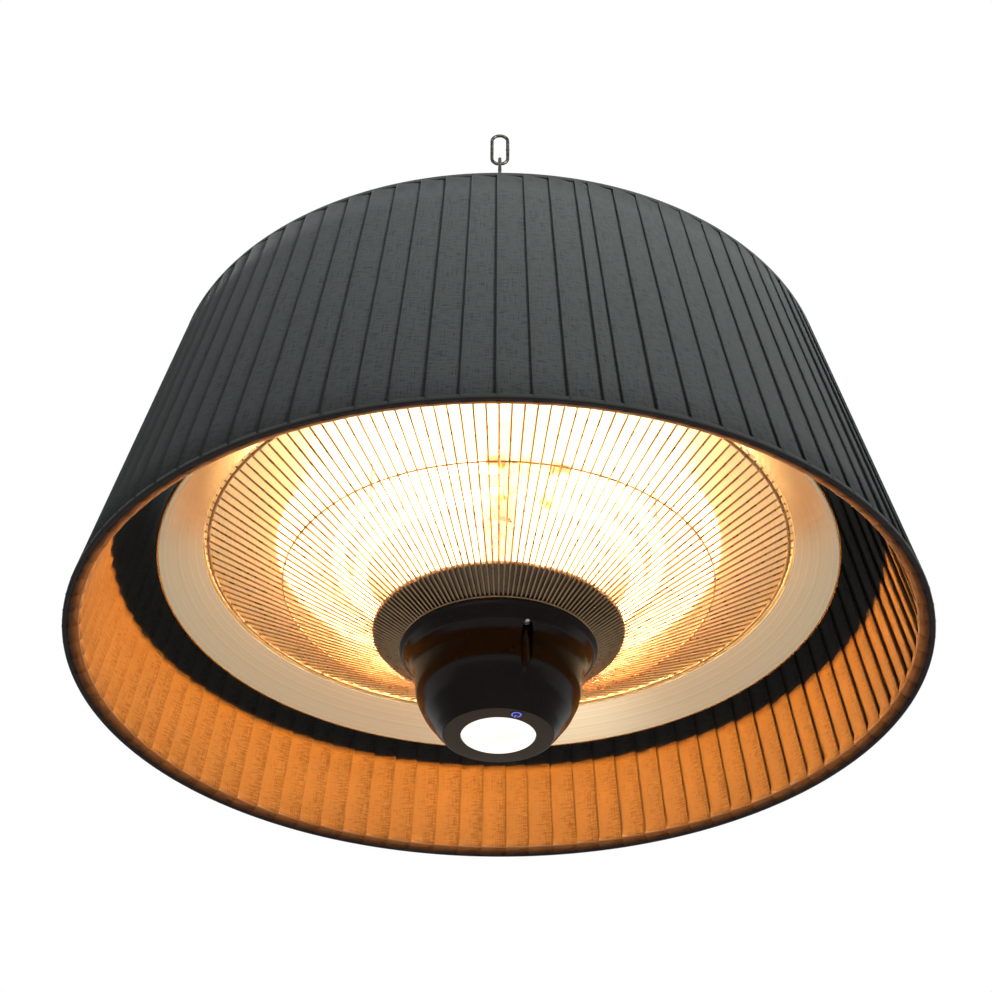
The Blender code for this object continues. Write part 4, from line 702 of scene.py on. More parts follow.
class HEATER_OT_shade(bpy.types.Operator):
    """Folds the shade's pleated cloth and its lining, and binds their edges"""

    bl_idname = "heater.shade"
    bl_label = "Shade"

    # Radius of the lower edge, how much smaller the upper one is, and the height between them.
    EDGE = 0.3
    TAPER = 0.05
    HEIGHT = 0.237

    # Path of the cloth over one pleat: share of the pleat's width, share of its depth.
    FOLD = (
        (0.0, 0.10), (0.010, 0.0), (0.07, 0.01), (0.24, 0.13), (0.48, 0.38), (0.74, 0.68), (0.98, 0.91),
        (1.11, 0.97), (1.128, 0.88), (1.11, 0.78), (1.012, 0.30),
    )

    # The lining's lower edge turns round the ring wire: height, distance inside the shade's outer
    # line and share of the fold's depth, from the edge upwards.
    HEM = (
        (0.0004, 0.0028, 0.00), (0.0008, 0.0046, 0.05), (0.0021, 0.0071, 0.05), (0.0033, 0.0094, 0.08),
        (0.0053, 0.0107, 0.14), (0.0076, 0.0109, 0.40), (0.0100, 0.0107, 0.75), (0.0125, 0.0105, 1.00),
    )

    def execute(self, context):
        sizes = context.scene.heater_sizes
        cuts = 8
        outside = [(0.0012 + 0.2346 * row / cuts, 0.0003, 1 - 0.28 * row / cuts) for row in range(cuts + 1)]
        inside = list(self.HEM)
        first = self.HEM[-1][0]
        for row in range(1, cuts):
            share = row / (cuts - 1)
            inside.append((first + (0.2335 - first) * share, 0.0105 - 0.0058 * share, 1 - 0.65 * share))
        edges = [
            self.binding("bottom_bound_edge", 0.0, "shade_bottom_binding"),
            self.binding("top_bound_edge", 0.234, "shade_top_binding"),
        ]
        cloth, width, area = self.folded("pleated_shade", outside, 1, sizes.pleat_depth, 4)
        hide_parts("shade_fabric")
        lining, width, area = self.folded("pleated_lining", inside, -1, sizes.lining_depth, 9)
        return {"FINISHED"}

    def line(self, height):
        """Outer radius of the shade at a height."""
        return self.EDGE - self.TAPER * height / self.HEIGHT

    def slant(self, rows):
        """Length of the cloth from its lower to its upper edge."""
        places = [Vector((self.line(height) - inset, height)) for height, inset, _share in rows]
        return sum((after - before).length for before, after in zip(places, places[1:]))

    def folded(self, name, rows, side, depth, seed):
        """Cloth in knife pleats. Its folded edges stand out on side 1 and inwards on side -1."""
        sizes = bpy.context.scene.heater_sizes
        count = sizes.pleats
        dice = random.Random(seed)
        seam_share = 0.55
        step = TAU / (count - 1 + seam_share)
        starts, widths = [], []
        azimuth = math.radians(11.5)
        for pleat in range(count):
            starts.append(azimuth)
            widths.append(step * (seam_share if pleat == 0 else 1))
            azimuth += widths[-1]
        drift = [dice.uniform(-1, 1) * 0.02 * step for _ in range(count)]
        depths = [depth * dice.uniform(0.86, 1.08) for _ in range(count)]
        lean = [dice.uniform(-1, 1) * 0.03 * step for _ in range(count)]

        bm = bmesh.new()
        painted_fold_shade_layer = bm.verts.layers.float.new("fold")
        samples = len(self.FOLD)
        made = bmesh.ops.create_circle(bm, segments=count * samples, radius=self.EDGE)
        uv_layer = bm.loops.layers.uv.new("cloth")

        def place(vert, number, row):
            pleat, part = divmod(number, samples)
            along, deep = self.FOLD[part]
            height, inset, share = rows[row]
            up = height / self.HEIGHT - 0.5
            nudge = drift[pleat] + lean[pleat] * up
            after = drift[(pleat + 1) % count] + lean[(pleat + 1) % count] * up
            # The last points of a pleat lie under the next one and move with it.
            blend = min(max((along - 0.5) / 0.5, 0), 1)
            azimuth = starts[pleat] + widths[pleat] * min(along, 1) + step * max(along - 1, 0)
            azimuth += nudge * (1 - blend) + after * blend
            radius = self.line(height) - inset - side * depths[pleat] * deep * share
            vert.co = (radius * math.sin(azimuth), -radius * math.cos(azimuth), high(height))
            # Painted shade across the pleat: the lining's share along it, which the cloth finish turns paler
            # towards the end under the next pleat. The outer cloth gets none.
            vert[painted_fold_shade_layer] = 0.0 if side > 0 else min(along, 1) - 0.5

        ring = sorted(made["verts"], key=lambda vert: math.atan2(vert.co.x, -vert.co.y) % TAU)
        for number, vert in enumerate(ring):
            place(vert, number, 0)
        edges = bm.edges[:]
        order = {vert: number for number, vert in enumerate(ring)}
        for row in range(1, len(rows)):
            lifted = bmesh.ops.extrude_edge_only(bm, edges=edges)["geom"]
            verts = [item for item in lifted if isinstance(item, bmesh.types.BMVert)]
            edges = [item for item in lifted if isinstance(item, bmesh.types.BMEdge)]
            fresh = {}
            for vert in verts:
                for edge in vert.link_edges:
                    other = edge.other_vert(vert)
                    if other in order and other not in verts:
                        fresh[vert] = order[other]
            for vert, number in fresh.items():
                place(vert, number, row)
            order.update(fresh)
        lengths = [0.0]
        for i in range(1, len(ring) + 1):
            lengths.append(lengths[-1] + (ring[i % len(ring)].co - ring[i - 1].co).length)
        for face in bm.faces:
            numbers = [order[vert] for vert in face.verts]
            wraps = max(numbers) - min(numbers) > samples
            for loop in face.loops:
                number = order[loop.vert]
                along = lengths[len(ring)] if wraps and number == 0 else lengths[number]
                loop[uv_layer].uv = (along, loop.vert.co.z - RIM)
        area = sum(face.calc_area() for face in bm.faces)
        bmesh.ops.recalc_face_normals(bm, faces=bm.faces)
        data = bpy.data.meshes.new(name)
        bm.to_mesh(data)
        bm.free()
        cloth = dressed(name, data, "cloth", smooth_angle=40)
        wall = cloth.modifiers.new("cloth thickness", "SOLIDIFY")
        wall.thickness = sizes.cloth_thickness
        wall.offset = 0.0
        return cloth, lengths[-1] * 1.01, area

    def binding(self, name, bottom, node):
        """A bound edge of the shade, whose corners are rounded."""
        top = bottom + 0.003
        outer_low, outer_top = self.line(bottom), self.line(top)
        corners = [
            (outer_low - 0.0034, bottom + 0.0002), (outer_low - 0.0005, bottom + 0.00005, 0.0010),
            (outer_top, top - 0.0001, 0.0004), (outer_top - 0.0036, top - 0.0001, 0.0004),
            (outer_low - 0.0040, bottom + 0.0006, 0.0008), (outer_low - 0.0034, bottom + 0.0002),
        ]
        return spun(name, node, "binding", rounded(corners, 0.0004, 4)[:-1], 276)


class HEATER_OT_shade_frame(bpy.types.Operator):
    """Makes the hub, arms and rings that carry the shade"""

    bl_idname = "heater.shade_frame"
    bl_label = "Shade frame"

    def execute(self, context):
        level, half = 0.231, 0.0015
        bm = bmesh.new()
        corners = [
            (0.0044, level + half), (0.0215, level + half), (0.022, level), (0.0215, level - half),
            (0.0044, level - half),
        ]
        spin_into(bm, rounded(corners, 0.0008, 3), 64, True)
        low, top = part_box("shade_top_frame")
        reach = (top[0] - low[0]) / 2 - 0.002
        for arm in range(3):
            azimuth = TAU * arm / 3
            rod(bm, around(0.018, azimuth, level), around(reach + 0.001, azimuth, level), 0.005, 20, 0.0006)
        spin_into(bm, ring_outline(reach, level, 0.004), 144, True)
        piece("top_frame", bm, "black", stands_for=["shade_top_frame"])
        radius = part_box("shade_bottom_ring")[1][0] - 0.0029
        outline = ring_outline(radius, sum(heights("shade_bottom_ring")) / 2, 0.004)
        spun("bottom_ring_wire", "shade_bottom_ring", "grey", outline, 144)
        return {"FINISHED"}


class HEATER_OT_reflector(bpy.types.Operator):
    """Spins the reflector with its rolled lip, brim, shelf and dish"""

    bl_idname = "heater.reflector"
    bl_label = "Reflector"

    def execute(self, context):
        corners = [
            (0.2432, 0.0788), (0.2449, 0.0786, 0.0008), (0.2449, 0.0745, 0.0011), (0.2434, 0.0743, 0.0009),
            (0.2145, 0.0918, 0.0016), (0.2144, 0.0969, 0.0012), (0.1625, 0.0988, 0.0016),
            (0.1586, 0.1046, 0.004), (0.1501, 0.1128, 0.006), (0.1312, 0.1216, 0.014), (0.092, 0.1265, 0.02),
            (0.0124, 0.1265),
        ]
        outline = walled(rounded(corners, 0.001, 5), -0.0009)
        spun("spun_reflector", "reflector", "aluminium", outline, 192, smooth_angle=50)
        return {"FINISHED"}


class HEATER_OT_lamps(bpy.types.Operator):
    """Bends the two ring lamps with their filaments, caps, leads and clips"""

    bl_idname = "heater.lamps"
    bl_label = "Lamps"

    GAP = math.radians(28)
    GAP_AZIMUTH = math.radians(9.5)
    # Radius and height of each lamp's centre line.
    OUTER = (0.117, 0.094)
    INNER = (0.1005, 0.080)

    def execute(self, context):
        for lamp, (radius, height) in (("outer_lamp", self.OUTER), ("inner_lamp", self.INNER)):
            run = [around(radius, self.along(i / 120), height) for i in range(121)]
            node = lamp + "_tube"
            tube(lamp + "_glass", [run], 0.0098, "quartz", resolution=6, stands_for=[node], smooth_angle=60)
            self.filament(lamp, radius, height, context.scene.heater_sizes.filament_turns)
            for hand, side in (("left", -1), ("right", 1)):
                self.end(lamp, hand, side, radius, height)
        self.clips()
        self.bushing()
        return {"FINISHED"}

    def along(self, share):
        """Azimuth at a share of a lamp's length."""
        return self.GAP_AZIMUTH + self.GAP / 2 + (TAU - self.GAP) * share

    def filament(self, lamp, radius, height, turns):
        """A long coil on the tube's centre line."""
        coil, steps = 0.0011, turns * 8
        run = []
        for i in range(steps + 1):
            angle = TAU * turns * i / steps
            out, up = coil * math.cos(angle), coil * math.sin(angle)
            run.append(around(radius + out, self.along(i / steps), height + up))
        node = lamp + "_filament"
        tube(lamp + "_coil", [run], 0.0006, "filament", resolution=0, stands_for=[node], smooth_angle=180)

    def end(self, lamp, hand, side, radius, height):
        """A ceramic cap with its lead, which bends up into the bushing."""
        azimuth = self.GAP_AZIMUTH + side * self.GAP / 2
        way = Vector((math.cos(azimuth), math.sin(azimuth), 0)) * -side
        start = around(radius, azimuth, height) + way * 0.0003
        stop = start + way * 0.014
        bm = bmesh.new()
        rod(bm, start, start + way * 0.0105, 0.012, 32, 0.0008)
        rod(bm, start + way * 0.0105, stop, 0.0074, 24, 0.0006)
        piece(f"{lamp}_{hand}_cap", bm, "ceramic", stands_for=[f"{lamp}_{hand}_end"])
        row = 0.002 if lamp == "inner_lamp" else -0.002
        spot = self.bushing_place()
        top = Vector((spot.x + side * 0.002, spot.y + row, high(0.1238)))
        first = stop + way * 0.010
        last = top - Vector((0, 0, 0.010))
        run = []
        for i in range(17):
            t = i / 16
            near, mid, far = (stop - way * 0.001).lerp(first, t), first.lerp(last, t), last.lerp(top, t)
            run.append(near.lerp(mid, t).lerp(mid.lerp(far, t), t))
        tube(f"{lamp}_{hand}_lead", [run], 0.0014, "lead", resolution=2)

    @staticmethod
    def bushing_place():
        return around(0.075, math.radians(14))

    def clips(self):
        """Bent wires that cradle both tubes."""
        hold = 0.0062
        for number, share in enumerate((0.125, 0.5, 0.875), 1):
            profile = [(self.INNER[0] - hold, 0.1240)]
            for radius, height in (self.INNER, self.OUTER):
                for i in range(13):
                    angle = math.pi + math.pi * i / 12
                    profile.append((radius + hold * math.cos(angle), height + hold * math.sin(angle)))
            profile.append((self.OUTER[0] + hold, 0.1205))
            run = [around(radius, self.along(share), height) for radius, height in profile]
            tube(f"bent_clip_{number}", [run], 0.0018, "zinc", stands_for=[f"lamp_clip_{number}"])

    def bushing(self):
        corners = [
            (0, 0.1338), (0.0049, 0.1338), (0.0049, 0.1262), (0.0074, 0.1262), (0.0074, 0.1243), (0, 0.1243),
        ]
        outline, centre = rounded(corners, 0.0006, 3), self.bushing_place().xy
        spun("round_bushing", "lead_bushing", "ceramic", outline, 40, False, centre)


# Radii of the guard's inner and outer ring.
GUARD_INNER = 0.0688
GUARD_OUTER = 0.2105


def guard_height(radius):
    """Height of a guard wire's centre line at a radius."""
    return 0.0196 + 0.5250 * (radius - GUARD_INNER)


class HEATER_OT_guard(bpy.types.Operator):
    """Welds the wire guard: radial wires and three rings"""

    bl_idname = "heater.guard"
    bl_label = "Wire guard"

    def execute(self, context):
        sizes = context.scene.heater_sizes
        bm = bmesh.new()
        near, far = 0.0684, 0.2136
        rod(bm, around(near, 0, guard_height(near)), around(far, 0, guard_height(far)), sizes.guard_wire, 8)
        wire = bm.verts[:] + bm.edges[:] + bm.faces[:]
        bmesh.ops.spin(
            bm, geom=wire, cent=(0, 0, 0), axis=(0, 0, 1), angle=TAU, steps=sizes.guard_wires,
            use_duplicate=True,
        )
        outer, inner = GUARD_OUTER, GUARD_INNER
        spin_into(bm, ring_outline(outer, guard_height(outer) - 0.0018, 0.0025, 12), 192, True)
        spin_into(bm, ring_outline(inner, guard_height(inner) - 0.0002, 0.002, 10), 120, True)
        piece("welded_guard", bm, "guard", stands_for=["wire_guard"])
        height = sum(heights("guard_middle_ring")) / 2 - 0.0002
        spun("middle_guard_ring", "guard_middle_ring", "guard", ring_outline(0.1555, height, 0.0015, 10), 160)
        return {"FINISHED"}


class HEATER_OT_column(bpy.types.Operator):
    """Turns the centre column and presses the heat shield"""

    bl_idname = "heater.column"
    bl_label = "Column and shield"

    def execute(self, context):
        bottom, head = heights("centre_column")
        shield = heights("heat_shield")[0]
        tube_radius, bore, flange = 0.0119, 0.0105, 0.0170
        on_shield, under = shield + 0.0011, 0.1262
        corners = [
            (bore, head), (tube_radius, head), (tube_radius, under), (0.0168, under), (flange, under - 0.002),
            (tube_radius, under - 0.002), (tube_radius, on_shield + 0.002), (flange, on_shield + 0.002),
            (flange, on_shield), (tube_radius, on_shield), (tube_radius, bottom), (bore, bottom),
        ]
        spun("turned_column", "centre_column", "zinc", rounded(corners, 0.0005, 3), 64)
        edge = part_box("heat_shield")[1][0]
        corners = [
            (edge - 0.0001, guard_height(edge) + 0.0039),
            (edge - 0.0001, guard_height(edge) + 0.0014, 0.0014), (GUARD_INNER, shield + 0.0006, 0.004),
            (0.064, shield + 0.0001, 0.004), (0.0125, shield + 0.0001),
        ]
        outline = walled(rounded(corners, 0.001, 4), -0.0008)
        spun("pressed_shield", "heat_shield", "shield", outline, 128)
        return {"FINISHED"}


POCKETS = [math.radians(19) + TAU * number / 3 for number in range(3)]
POCKET_RADIUS = 0.0585
POCKET_ROOF = 0.0096
FACE = -0.049
BUTTON_AZIMUTH = math.radians(22)
BUTTON_RADIUS = 0.0322


def cylinders(name, places, thickness, low, top, sides=40):
    """Upright cylinders as one mesh, to cut with."""
    bm = bmesh.new()
    for x, y in places:
        rod(bm, (x, y, high(low)), (x, y, high(top)), thickness, sides)
    return mesh_from(name, bm)


class HEATER_OT_housing(bpy.types.Operator):
    """Moulds the control housing with its screw pockets, lens opening and button hole"""

    bl_idname = "heater.housing"
    bl_label = "Control housing"

    BOWL = (
        (0, 0.0183), (0.0692, 0.0183), (0.0700, 0.0179, 0.0004), (0.0698, 0.0164, 0.0014),
        (0.0670, 0.0150, 0.006), (0.0625, 0.0080, 0.012), (0.0595, 0.0, 0.03), (0.0586, -0.0080, 0.03),
        (0.0572, -0.0200, 0.03), (0.0512, -0.0325, 0.03), (0.0428, -0.0438, 0.02), (0.0382, -0.0490, 0.0012),
        (0.0, -0.0490),
    )

    def execute(self, context):
        bm = bmesh.new()
        spin_into(bm, rounded(self.BOWL, 0.0006, 6), 128, False)
        data = mesh_from("bowl", bm)
        bm = bmesh.new()
        inner = [(0.0, 0.0233), (0.0680, 0.0233), (0.0680, 0.0172)]
        inner += [(radius - 0.002, height) for radius, height, _own in self.BOWL[4:11]]
        inner += [(0.0388, -0.0470), (0.0, -0.0470)]
        spin_into(bm, rounded(inner, 0.004, 3), 72, False)
        places = [around(POCKET_RADIUS, azimuth).xy for azimuth in POCKETS]
        # The cavity leaves a pillar round each screw, and the pockets are cut up into them.
        data = cut(data, cut(mesh_from("cavity", bm), cylinders("pillars", places, 0.0112, FACE, 0.0158)))
        button = around(BUTTON_RADIUS, BUTTON_AZIMUTH).xy
        for name, spots, thickness, low, top, sides in (
            ("pockets", places, 0.0082, -0.060, POCKET_ROOF, 48),
            ("bores", places, 0.0046, POCKET_ROOF - 0.001, 0.020, 24),
            ("lens_hole", [(0, 0)], 0.0516, -0.060, -0.040, 96),
            ("button_hole", [button], 0.0096, -0.060, -0.040, 48),
        ):
            data = cut(data, cylinders(name, spots, thickness, low, top, sides))
        made = dressed("moulded_housing", data, "housing", stands_for=["control_housing"], smooth_angle=30)
        data.materials.append(finish("face"))
        for polygon in made.data.polygons:
            flat = polygon.normal.z < -0.95 and polygon.center.z < high(FACE + 0.0003)
            polygon.material_index = 1 if flat else 0
        return {"FINISHED"}


class HEATER_OT_controls(bpy.types.Operator):
    """Makes the lamp lens, the power button and its lit symbol"""

    bl_idname = "heater.controls"
    bl_label = "Lens and button"

    def execute(self, context):
        corners = [
            (0, -0.0455), (0.0270, -0.0455), (0.0270, -0.0467), (0.0254, -0.0467), (0.0254, -0.0491, 0.0007),
            (0.0200, -0.0495, 0.02), (0, -0.0496),
        ]
        spun("milky_lens_disc", "lamp_lens", "lens", rounded(corners, 0.0003, 4), 96, closed=False)

        spot = around(BUTTON_RADIUS, BUTTON_AZIMUTH).xy
        low = FACE - 0.0003
        corners = [
            (0, low + 0.0073), (0.0012, low + 0.0073), (0.0012, low + 0.0044), (0.0045, low + 0.0044),
            (0.0045, low, 0.0006), (0, low),
        ]
        outline = rounded(corners, 0.0003, 3)
        spun("round_button", "power_button", "face", outline, 48, False, spot, body="button")
        symbol = self.symbol((*spot, high(low - 0.0001)))
        piece("lit_standby_symbol", symbol, "symbol", body="button", stands_for=["power_symbol"])
        return {"FINISHED"}

    @staticmethod
    def symbol(place):
        """An open ring with a bar in its gap, which looks towards the lens."""
        middle, half = 0.0030, 0.0005
        opening = math.radians(62)
        axis = {"cent": (0, 0, 0)}
        bm = bmesh.new()
        ends = [bm.verts.new((0, middle - half, 0)), bm.verts.new((0, middle + half, 0))]
        edge = bm.edges.new(ends)
        bmesh.ops.rotate(bm, matrix=Matrix.Rotation(opening / 2, 3, "Z"), verts=ends, **axis)
        bmesh.ops.spin(
            bm, geom=[*ends, edge], axis=(0, 0, 1), angle=TAU - opening, steps=28, use_merge=False, **axis
        )
        bar = bmesh.ops.create_grid(bm, x_segments=1, y_segments=1, size=0.5)["verts"]
        bmesh.ops.scale(bm, vec=(2 * half, 0.003, 1), verts=bar)
        bmesh.ops.translate(bm, vec=(0, 0.0021, 0), verts=bar)
        raised = bmesh.ops.extrude_face_region(bm, geom=bm.faces[:], use_keep_orig=True)["geom"]
        lifted = [item for item in raised if isinstance(item, bmesh.types.BMVert)]
        bmesh.ops.translate(bm, vec=(0, 0, 0.0009), verts=lifted)
        bmesh.ops.rotate(bm, matrix=Matrix.Rotation(BUTTON_AZIMUTH, 3, "Z"), verts=bm.verts[:], **axis)
        bmesh.ops.translate(bm, vec=place, verts=bm.verts[:])
        return bm


class HEATER_OT_cover(bpy.types.Operator):
    """Presses the top cover and makes the stem and the cable gland on it"""

    bl_idname = "heater.cover"
    bl_label = "Cover and stem"

    def execute(self, context):
        low = heights("top_cover")[0] + 0.001
        corners = [
            (0.0141, 0.1600), (0.1450, 0.1600, 0.02), (0.1620, 0.1545, 0.014), (0.1700, 0.1440, 0.014),
            (0.1700, low, 0.002), (0.1818, low),
        ]
        outline = walled(rounded(corners, 0.004, 6), -0.0009)
        spun("pressed_cover", "top_cover", "black", outline, 160)
        foot, head = heights("hanger_stem")
        corners = [
            (0.0043, head), (0.0160, head, 0.001), (0.0160, foot + 0.003, 0.003),
            (0.0350, foot + 0.003, 0.001), (0.0350, foot, 0.0004), (0.0140, foot), (0.0140, head - 0.004),
            (0.0043, head - 0.004),
        ]
        spun("welded_stem", "hanger_stem", "black", rounded(corners, 0.0004, 4), 64)
        self.gland()
        return {"FINISHED"}

    @staticmethod
    def gland():
        spot, seat = (0, 0.095), 0.1603
        end, head = heights("cable_gland")
        corners = [
            (0.0045, head), (0.0075, head, 0.001), (0.0105, head - 0.007, 0.002), (0.0105, seat + 0.006),
            (0.0112, seat + 0.006), (0.0112, seat), (0.0090, seat), (0.0090, end), (0.0045, end),
        ]
        bm = bmesh.new()
        spin_into(bm, rounded(corners, 0.0004, 4), 48, True, spot)
        middle = Matrix.Translation((*spot, high(seat + 0.003)))
        nut = bmesh.ops.create_cone(
            bm, cap_ends=False, segments=6, radius1=0.0134, radius2=0.0134, depth=0.006, matrix=middle
        )["verts"]
        walls = list({edge for vert in nut for edge in vert.link_edges})
        bmesh.ops.bevel(bm, geom=walls, offset=0.0005, segments=2, profile=0.5, affect="EDGES", material=-1)
        rings = [edge for edge in bm.edges if edge.is_boundary]
        bmesh.ops.holes_fill(bm, edges=rings, sides=0)
        for rib in range(24):
            place = around(0.0106, TAU * rib / 24, seat + 0.0065) + Vector((*spot, 0))
            rod(bm, place, place + Vector((0, 0, 0.006)), 0.0009, 6)
        piece("ribbed_gland", bm, "dark", stands_for=["cable_gland"])


class HEATER_OT_screws(bpy.types.Operator):
    """Turns the screws, with a socket in each head"""

    bl_idname = "heater.screws"
    bl_label = "Screws"

    def execute(self, context):
        nodes = [f"{place}_screw_{hand}" for place in ("stem", "bracket") for hand in ("left", "right")]
        for node in nodes + [f"housing_screw_{number}" for number in (1, 2, 3)]:
            low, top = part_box(node)
            spot = ((low[0] + top[0]) / 2, (low[1] + top[1]) / 2)
            bottom, head = heights(node)
            # The stem's screws point down, and the others up.
            inwards = -1 if node.startswith("stem") else 1
            crown, end = (head, bottom) if inwards < 0 else (bottom, head)
            seat, socket = crown + inwards * 0.0025, crown + inwards * 0.0014
            corners = [
                (0, socket), (0.0015, socket), (0.0016, crown + inwards * 0.0001), (0.0022, crown),
                (0.0034, crown + inwards * 0.0008, 0.0008), (0.0034, seat), (0.0019, seat), (0.0019, end),
                (0, end),
            ]
            name = node.replace("screw", "socket_screw")
            spun(name, node, "zinc", rounded(corners, 0.0002, 2), 36, False, spot)
        return {"FINISHED"}


class HEATER_OT_wiring(bpy.types.Operator):
    """Bends the sleeved wires from the lamps and the housing to the terminal block"""

    bl_idname = "heater.wiring"
    bl_label = "Wiring"

    def execute(self, context):
        low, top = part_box("wiring_loom")
        bushing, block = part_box("lead_bushing"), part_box("terminal_block")
        trunk, branch = 0.007, 0.005
        crest = top[2] - trunk / 2
        entry = (block[0][2] + block[1][2]) / 2 - 0.0004
        side, front = ((bushing[0][axis] + bushing[1][axis]) / 2 for axis in (0, 1))
        up = [(0, 0, low[2]), (0, 0, crest), (0, 0.0195, crest), (0, 0.0285, entry), (0, top[1], entry)]
        across = [
            (side, front, bushing[1][2]), (side, front, crest), (side, -0.036, crest), (0, 0.009, crest),
        ]
        bm = bmesh.new()
        for points, thickness, reach in ((up, trunk, 0.005), (across, branch, 0.004)):
            bm.from_mesh(tube_mesh("sleeved_wires", [bent(points, reach)], thickness, resolution=4))
        piece("sleeved_wires", bm, "sleeve", stands_for=["wiring_loom"])
        return {"FINISHED"}


class HEATER_OT_inner_parts(bpy.types.Operator):
    """Finishes the CAD nodes that stay as they are"""

    bl_idname = "heater.inner_parts"
    bl_label = "Inner parts"

    KEPT = {
        "eye_bolt_washer": "zinc", "eye_bolt_nut": "zinc", "cross_bracket": "zinc",
        "column_top_nut": "black", "column_bottom_nut": "black", "housing_lid": "black",
        "control_board": "board", "lamp_board": "board", "power_module": "pale", "button_switch": "dark",
        "terminal_block": "ceramic", "thermal_cutout": "dark", "gland_nut": "dark",
    }

    def execute(self, context):
        for node, look in self.KEPT.items():
            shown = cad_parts[node]
            if not shown.material_slots:
                shown.data.materials.append(finish(look))
            for slot in shown.material_slots:
                slot.material = finish(look)
        return {"FINISHED"}


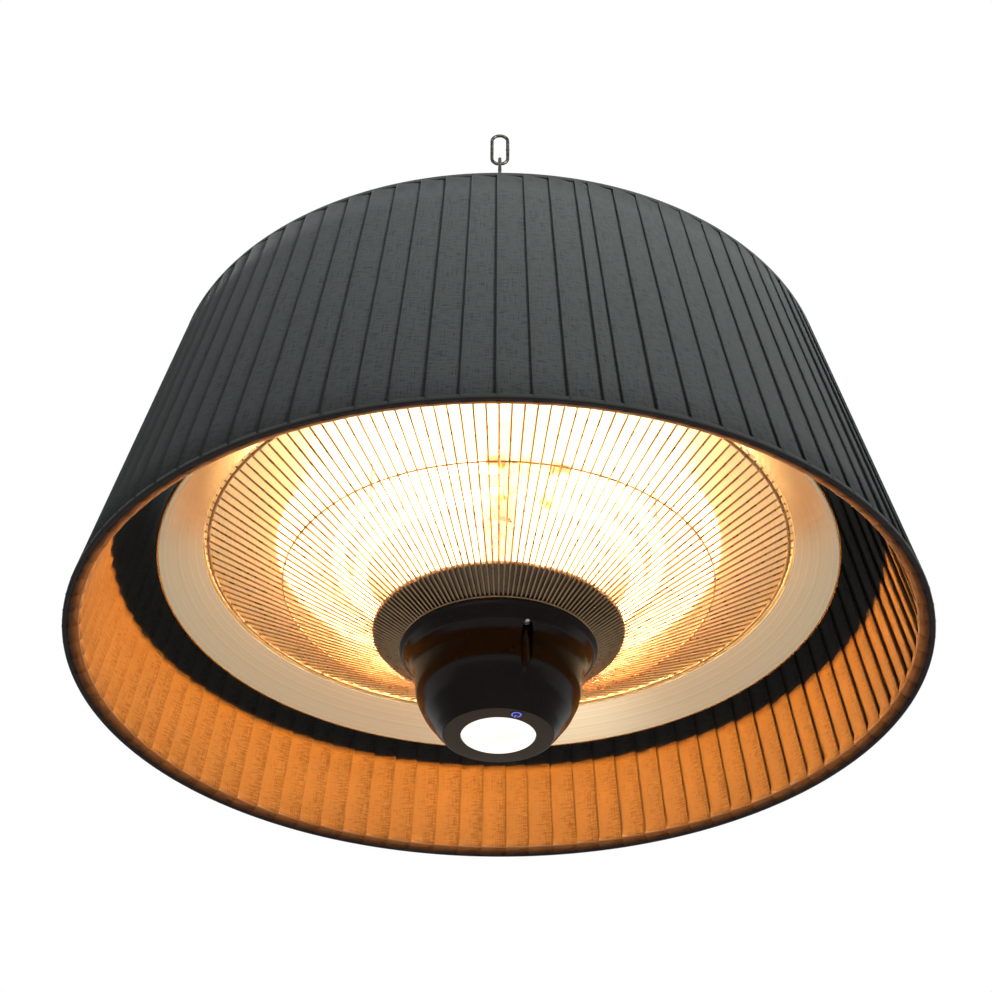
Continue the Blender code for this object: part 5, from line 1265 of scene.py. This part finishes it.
class HEATER_OT_stage(bpy.types.Operator):
    """Sets the floor, the soft light, the lamps' light and the camera"""

    bl_idname = "heater.stage"
    bl_label = "Stage"

    def execute(self, context):
        self.floor(context)
        self.world(context)
        self.lamp_light(context)
        self.studio(context)
        self.camera(context)
        return {"FINISHED"}

    def floor(self, context):
        depth = 2.6
        bm = bmesh.new()
        bmesh.ops.create_grid(bm, x_segments=1, y_segments=1, size=9.0)
        bmesh.ops.translate(bm, vec=(0, 0, -depth), verts=bm.verts)
        data = bpy.data.meshes.new("floor")
        bm.to_mesh(data)
        bm.free()
        made = bpy.data.objects.new("floor", data)
        pale = Finish("pale_floor", (0.60, 0.60, 0.60), 0.9)
        pale.relief(pale.noise(3.0, 2.0), 0.001, 0.1)
        # Metal sees the floor as pale, with a brighter pool below the left of the heater. The camera sees
        # it as pale too, and as white far off.
        far = pale.far(pale.coordinates(place=(0.36, -0.10, depth)))
        path = pale.node("ShaderNodeLightPath")
        pool = pale.ranged(far, (0.25, 0.65), 1.0, 0.36)
        shone = pale.math("MULTIPLY", path.outputs["Is Glossy Ray"], pool)
        seen = pale.ranged(far, (1.5, 7.5), 0.62, 1.0)
        light = pale.math("MULTIPLY_ADD", path.outputs["Is Camera Ray"], seen, shone)
        pale.set("Emission Color", (1, 1, 1, 1))
        pale.link(light, pale.shader.inputs["Emission Strength"])
        data.materials.append(pale.material)
        context.scene.collection.objects.link(made)

    def world(self, context):
        """Soft white surroundings, which the camera, metal and glass see as plain white."""
        world = bpy.data.worlds.new("surroundings")
        world.use_nodes = True
        sky = Nodes(world.node_tree)
        soft = sky.tree.nodes["Background"]
        soft.inputs["Color"].default_value = (0.93, 0.96, 1.0, 1)
        soft.inputs["Strength"].default_value = 0.2
        white = sky.node("ShaderNodeBackground", strength=1.0)
        white.inputs["Color"].default_value = (1, 1, 1, 1)
        path = sky.node("ShaderNodeLightPath").outputs
        camera, glossy, through = (path[f"Is {kind} Ray"] for kind in ("Camera", "Glossy", "Transmission"))
        mix = sky.node("ShaderNodeMixShader")
        sky.link(sky.math("MAXIMUM", camera, sky.math("MAXIMUM", glossy, through)), mix.inputs["Fac"])
        sky.link(soft.outputs["Background"], mix.inputs[1])
        sky.link(white.outputs["Background"], mix.inputs[2])
        sky.link(mix.outputs["Shader"], sky.tree.nodes["World Output"].inputs["Surface"])
        context.scene.world = world

    def lamp_light(self, context):
        """Small lights along both ring lamps, which ride on the heater: amber on cloth, paler in metal."""
        settings = context.scene.heater_stage
        colours = context.scene.heater_colours
        lamps = HEATER_OT_lamps
        kinds = (("glow", colours.glow, settings.lamp_power), ("gleam", colours.tube, settings.gleam_power))
        for lamp, (radius, height), count in (("outer", lamps.OUTER, 14), ("inner", lamps.INNER, 10)):
            for number in range(count):
                azimuth = lamps.GAP_AZIMUTH + TAU * (number + 0.5) / count
                for kind, colour, power in kinds:
                    light = bpy.data.lights.new(f"{lamp}_{kind}_{number + 1}", "POINT")
                    light.energy = power
                    light.color = colour
                    light.shadow_soft_size = 0.004
                    made = bpy.data.objects.new(light.name, light)
                    # The lights hang just below the tubes.
                    made.location = around(radius, azimuth, height - 0.0075)
                    made.visible_glossy = kind == "gleam"
                    made.visible_diffuse = kind == "glow"
                    context.scene.collection.objects.link(made)
                    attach(made, "heater")

    def studio(self, context):
        """Softboxes. A grid on each keeps its light off the floor and on the shade."""
        power = context.scene.heater_stage.studio_power
        for name, place, aim, size, spread, share in (
            ("key_softbox", (1.5, -1.9, 0.15), (0.10, -0.10, 0.30), 0.9, 50, 1.0),
            ("side_softbox", (-1.0, -2.1, 0.25), (0.10, -0.10, 0.35), 0.9, 50, 0.28),
            ("back_softbox", (0.2, 2.2, 0.5), (0.0, 0.0, -0.30), 1.2, 80, 0.8),
        ):
            light = bpy.data.lights.new(name, "AREA")
            light.energy = power * share
            light.size = size
            light.spread = math.radians(spread)
            made = bpy.data.objects.new(name, light)
            made.location = place
            made.rotation_euler = (Vector(aim) - made.location).to_track_quat("-Z", "Y").to_euler()
            context.scene.collection.objects.link(made)

    def camera(self, context):
        settings = context.scene.heater_stage
        pitch, roll, yaw = settings.pitch, settings.roll, settings.yaw
        ahead = Vector((math.sin(yaw) * math.cos(pitch), math.cos(yaw) * math.cos(pitch), math.sin(pitch)))
        right = Vector((math.cos(yaw), -math.sin(yaw), 0))
        above = right.cross(ahead)
        turned_right = right * math.cos(roll) + above * math.sin(roll)
        turned_up = above * math.cos(roll) - right * math.sin(roll)
        data = bpy.data.cameras.new("camera")
        data.lens = settings.lens
        data.sensor_width = 36.0
        made = bpy.data.objects.new("camera", data)
        axes = Matrix((turned_right, turned_up, -ahead)).transposed().to_4x4()
        made.matrix_world = Matrix.Translation((0, -settings.distance, RIM - settings.drop)) @ axes
        context.scene.collection.objects.link(made)
        context.scene.camera = made
        context.scene.view_settings.view_transform = "Standard"


PIECES = (
    HEATER_OT_chain, HEATER_OT_eye_bolt, HEATER_OT_shade, HEATER_OT_shade_frame, HEATER_OT_reflector,
    HEATER_OT_lamps, HEATER_OT_guard, HEATER_OT_column, HEATER_OT_housing, HEATER_OT_controls,
    HEATER_OT_cover, HEATER_OT_screws, HEATER_OT_wiring, HEATER_OT_inner_parts, HEATER_OT_stage,
)


class HEATER_PT_panel(bpy.types.Panel):
    """Lists the pieces of the heater"""

    bl_label = "Patio Heater"
    bl_idname = "HEATER_PT_panel"
    bl_space_type = "VIEW_3D"
    bl_region_type = "UI"
    bl_category = "Patio Heater"

    def draw(self, context):
        for group in (context.scene.heater_sizes, context.scene.heater_colours, context.scene.heater_stage):
            box = self.layout.box()
            for name in group.__annotations__:
                box.prop(group, name)
        for operator in PIECES:
            self.layout.operator(operator.bl_idname)


CLASSES = (HeaterSizes, HeaterColours, HeaterStage, *PIECES, HEATER_PT_panel)


def register():
    for cls in CLASSES:
        bpy.utils.register_class(cls)
    bpy.types.Scene.heater_sizes = PointerProperty(type=HeaterSizes)
    bpy.types.Scene.heater_colours = PointerProperty(type=HeaterColours)
    bpy.types.Scene.heater_stage = PointerProperty(type=HeaterStage)


def unregister():
    del bpy.types.Scene.heater_stage
    del bpy.types.Scene.heater_colours
    del bpy.types.Scene.heater_sizes
    for cls in reversed(CLASSES):
        bpy.utils.unregister_class(cls)


def main():
    register()
    bpy.ops.heater.chain()
    bpy.ops.heater.eye_bolt()
    bpy.ops.heater.shade()
    bpy.ops.heater.shade_frame()
    bpy.ops.heater.reflector()
    bpy.ops.heater.lamps()
    bpy.ops.heater.guard()
    bpy.ops.heater.column()
    bpy.ops.heater.housing()
    bpy.ops.heater.controls()
    bpy.ops.heater.cover()
    bpy.ops.heater.screws()
    bpy.ops.heater.wiring()
    bpy.ops.heater.inner_parts()
    bpy.ops.heater.stage()


if __name__ == "__main__":
    main()
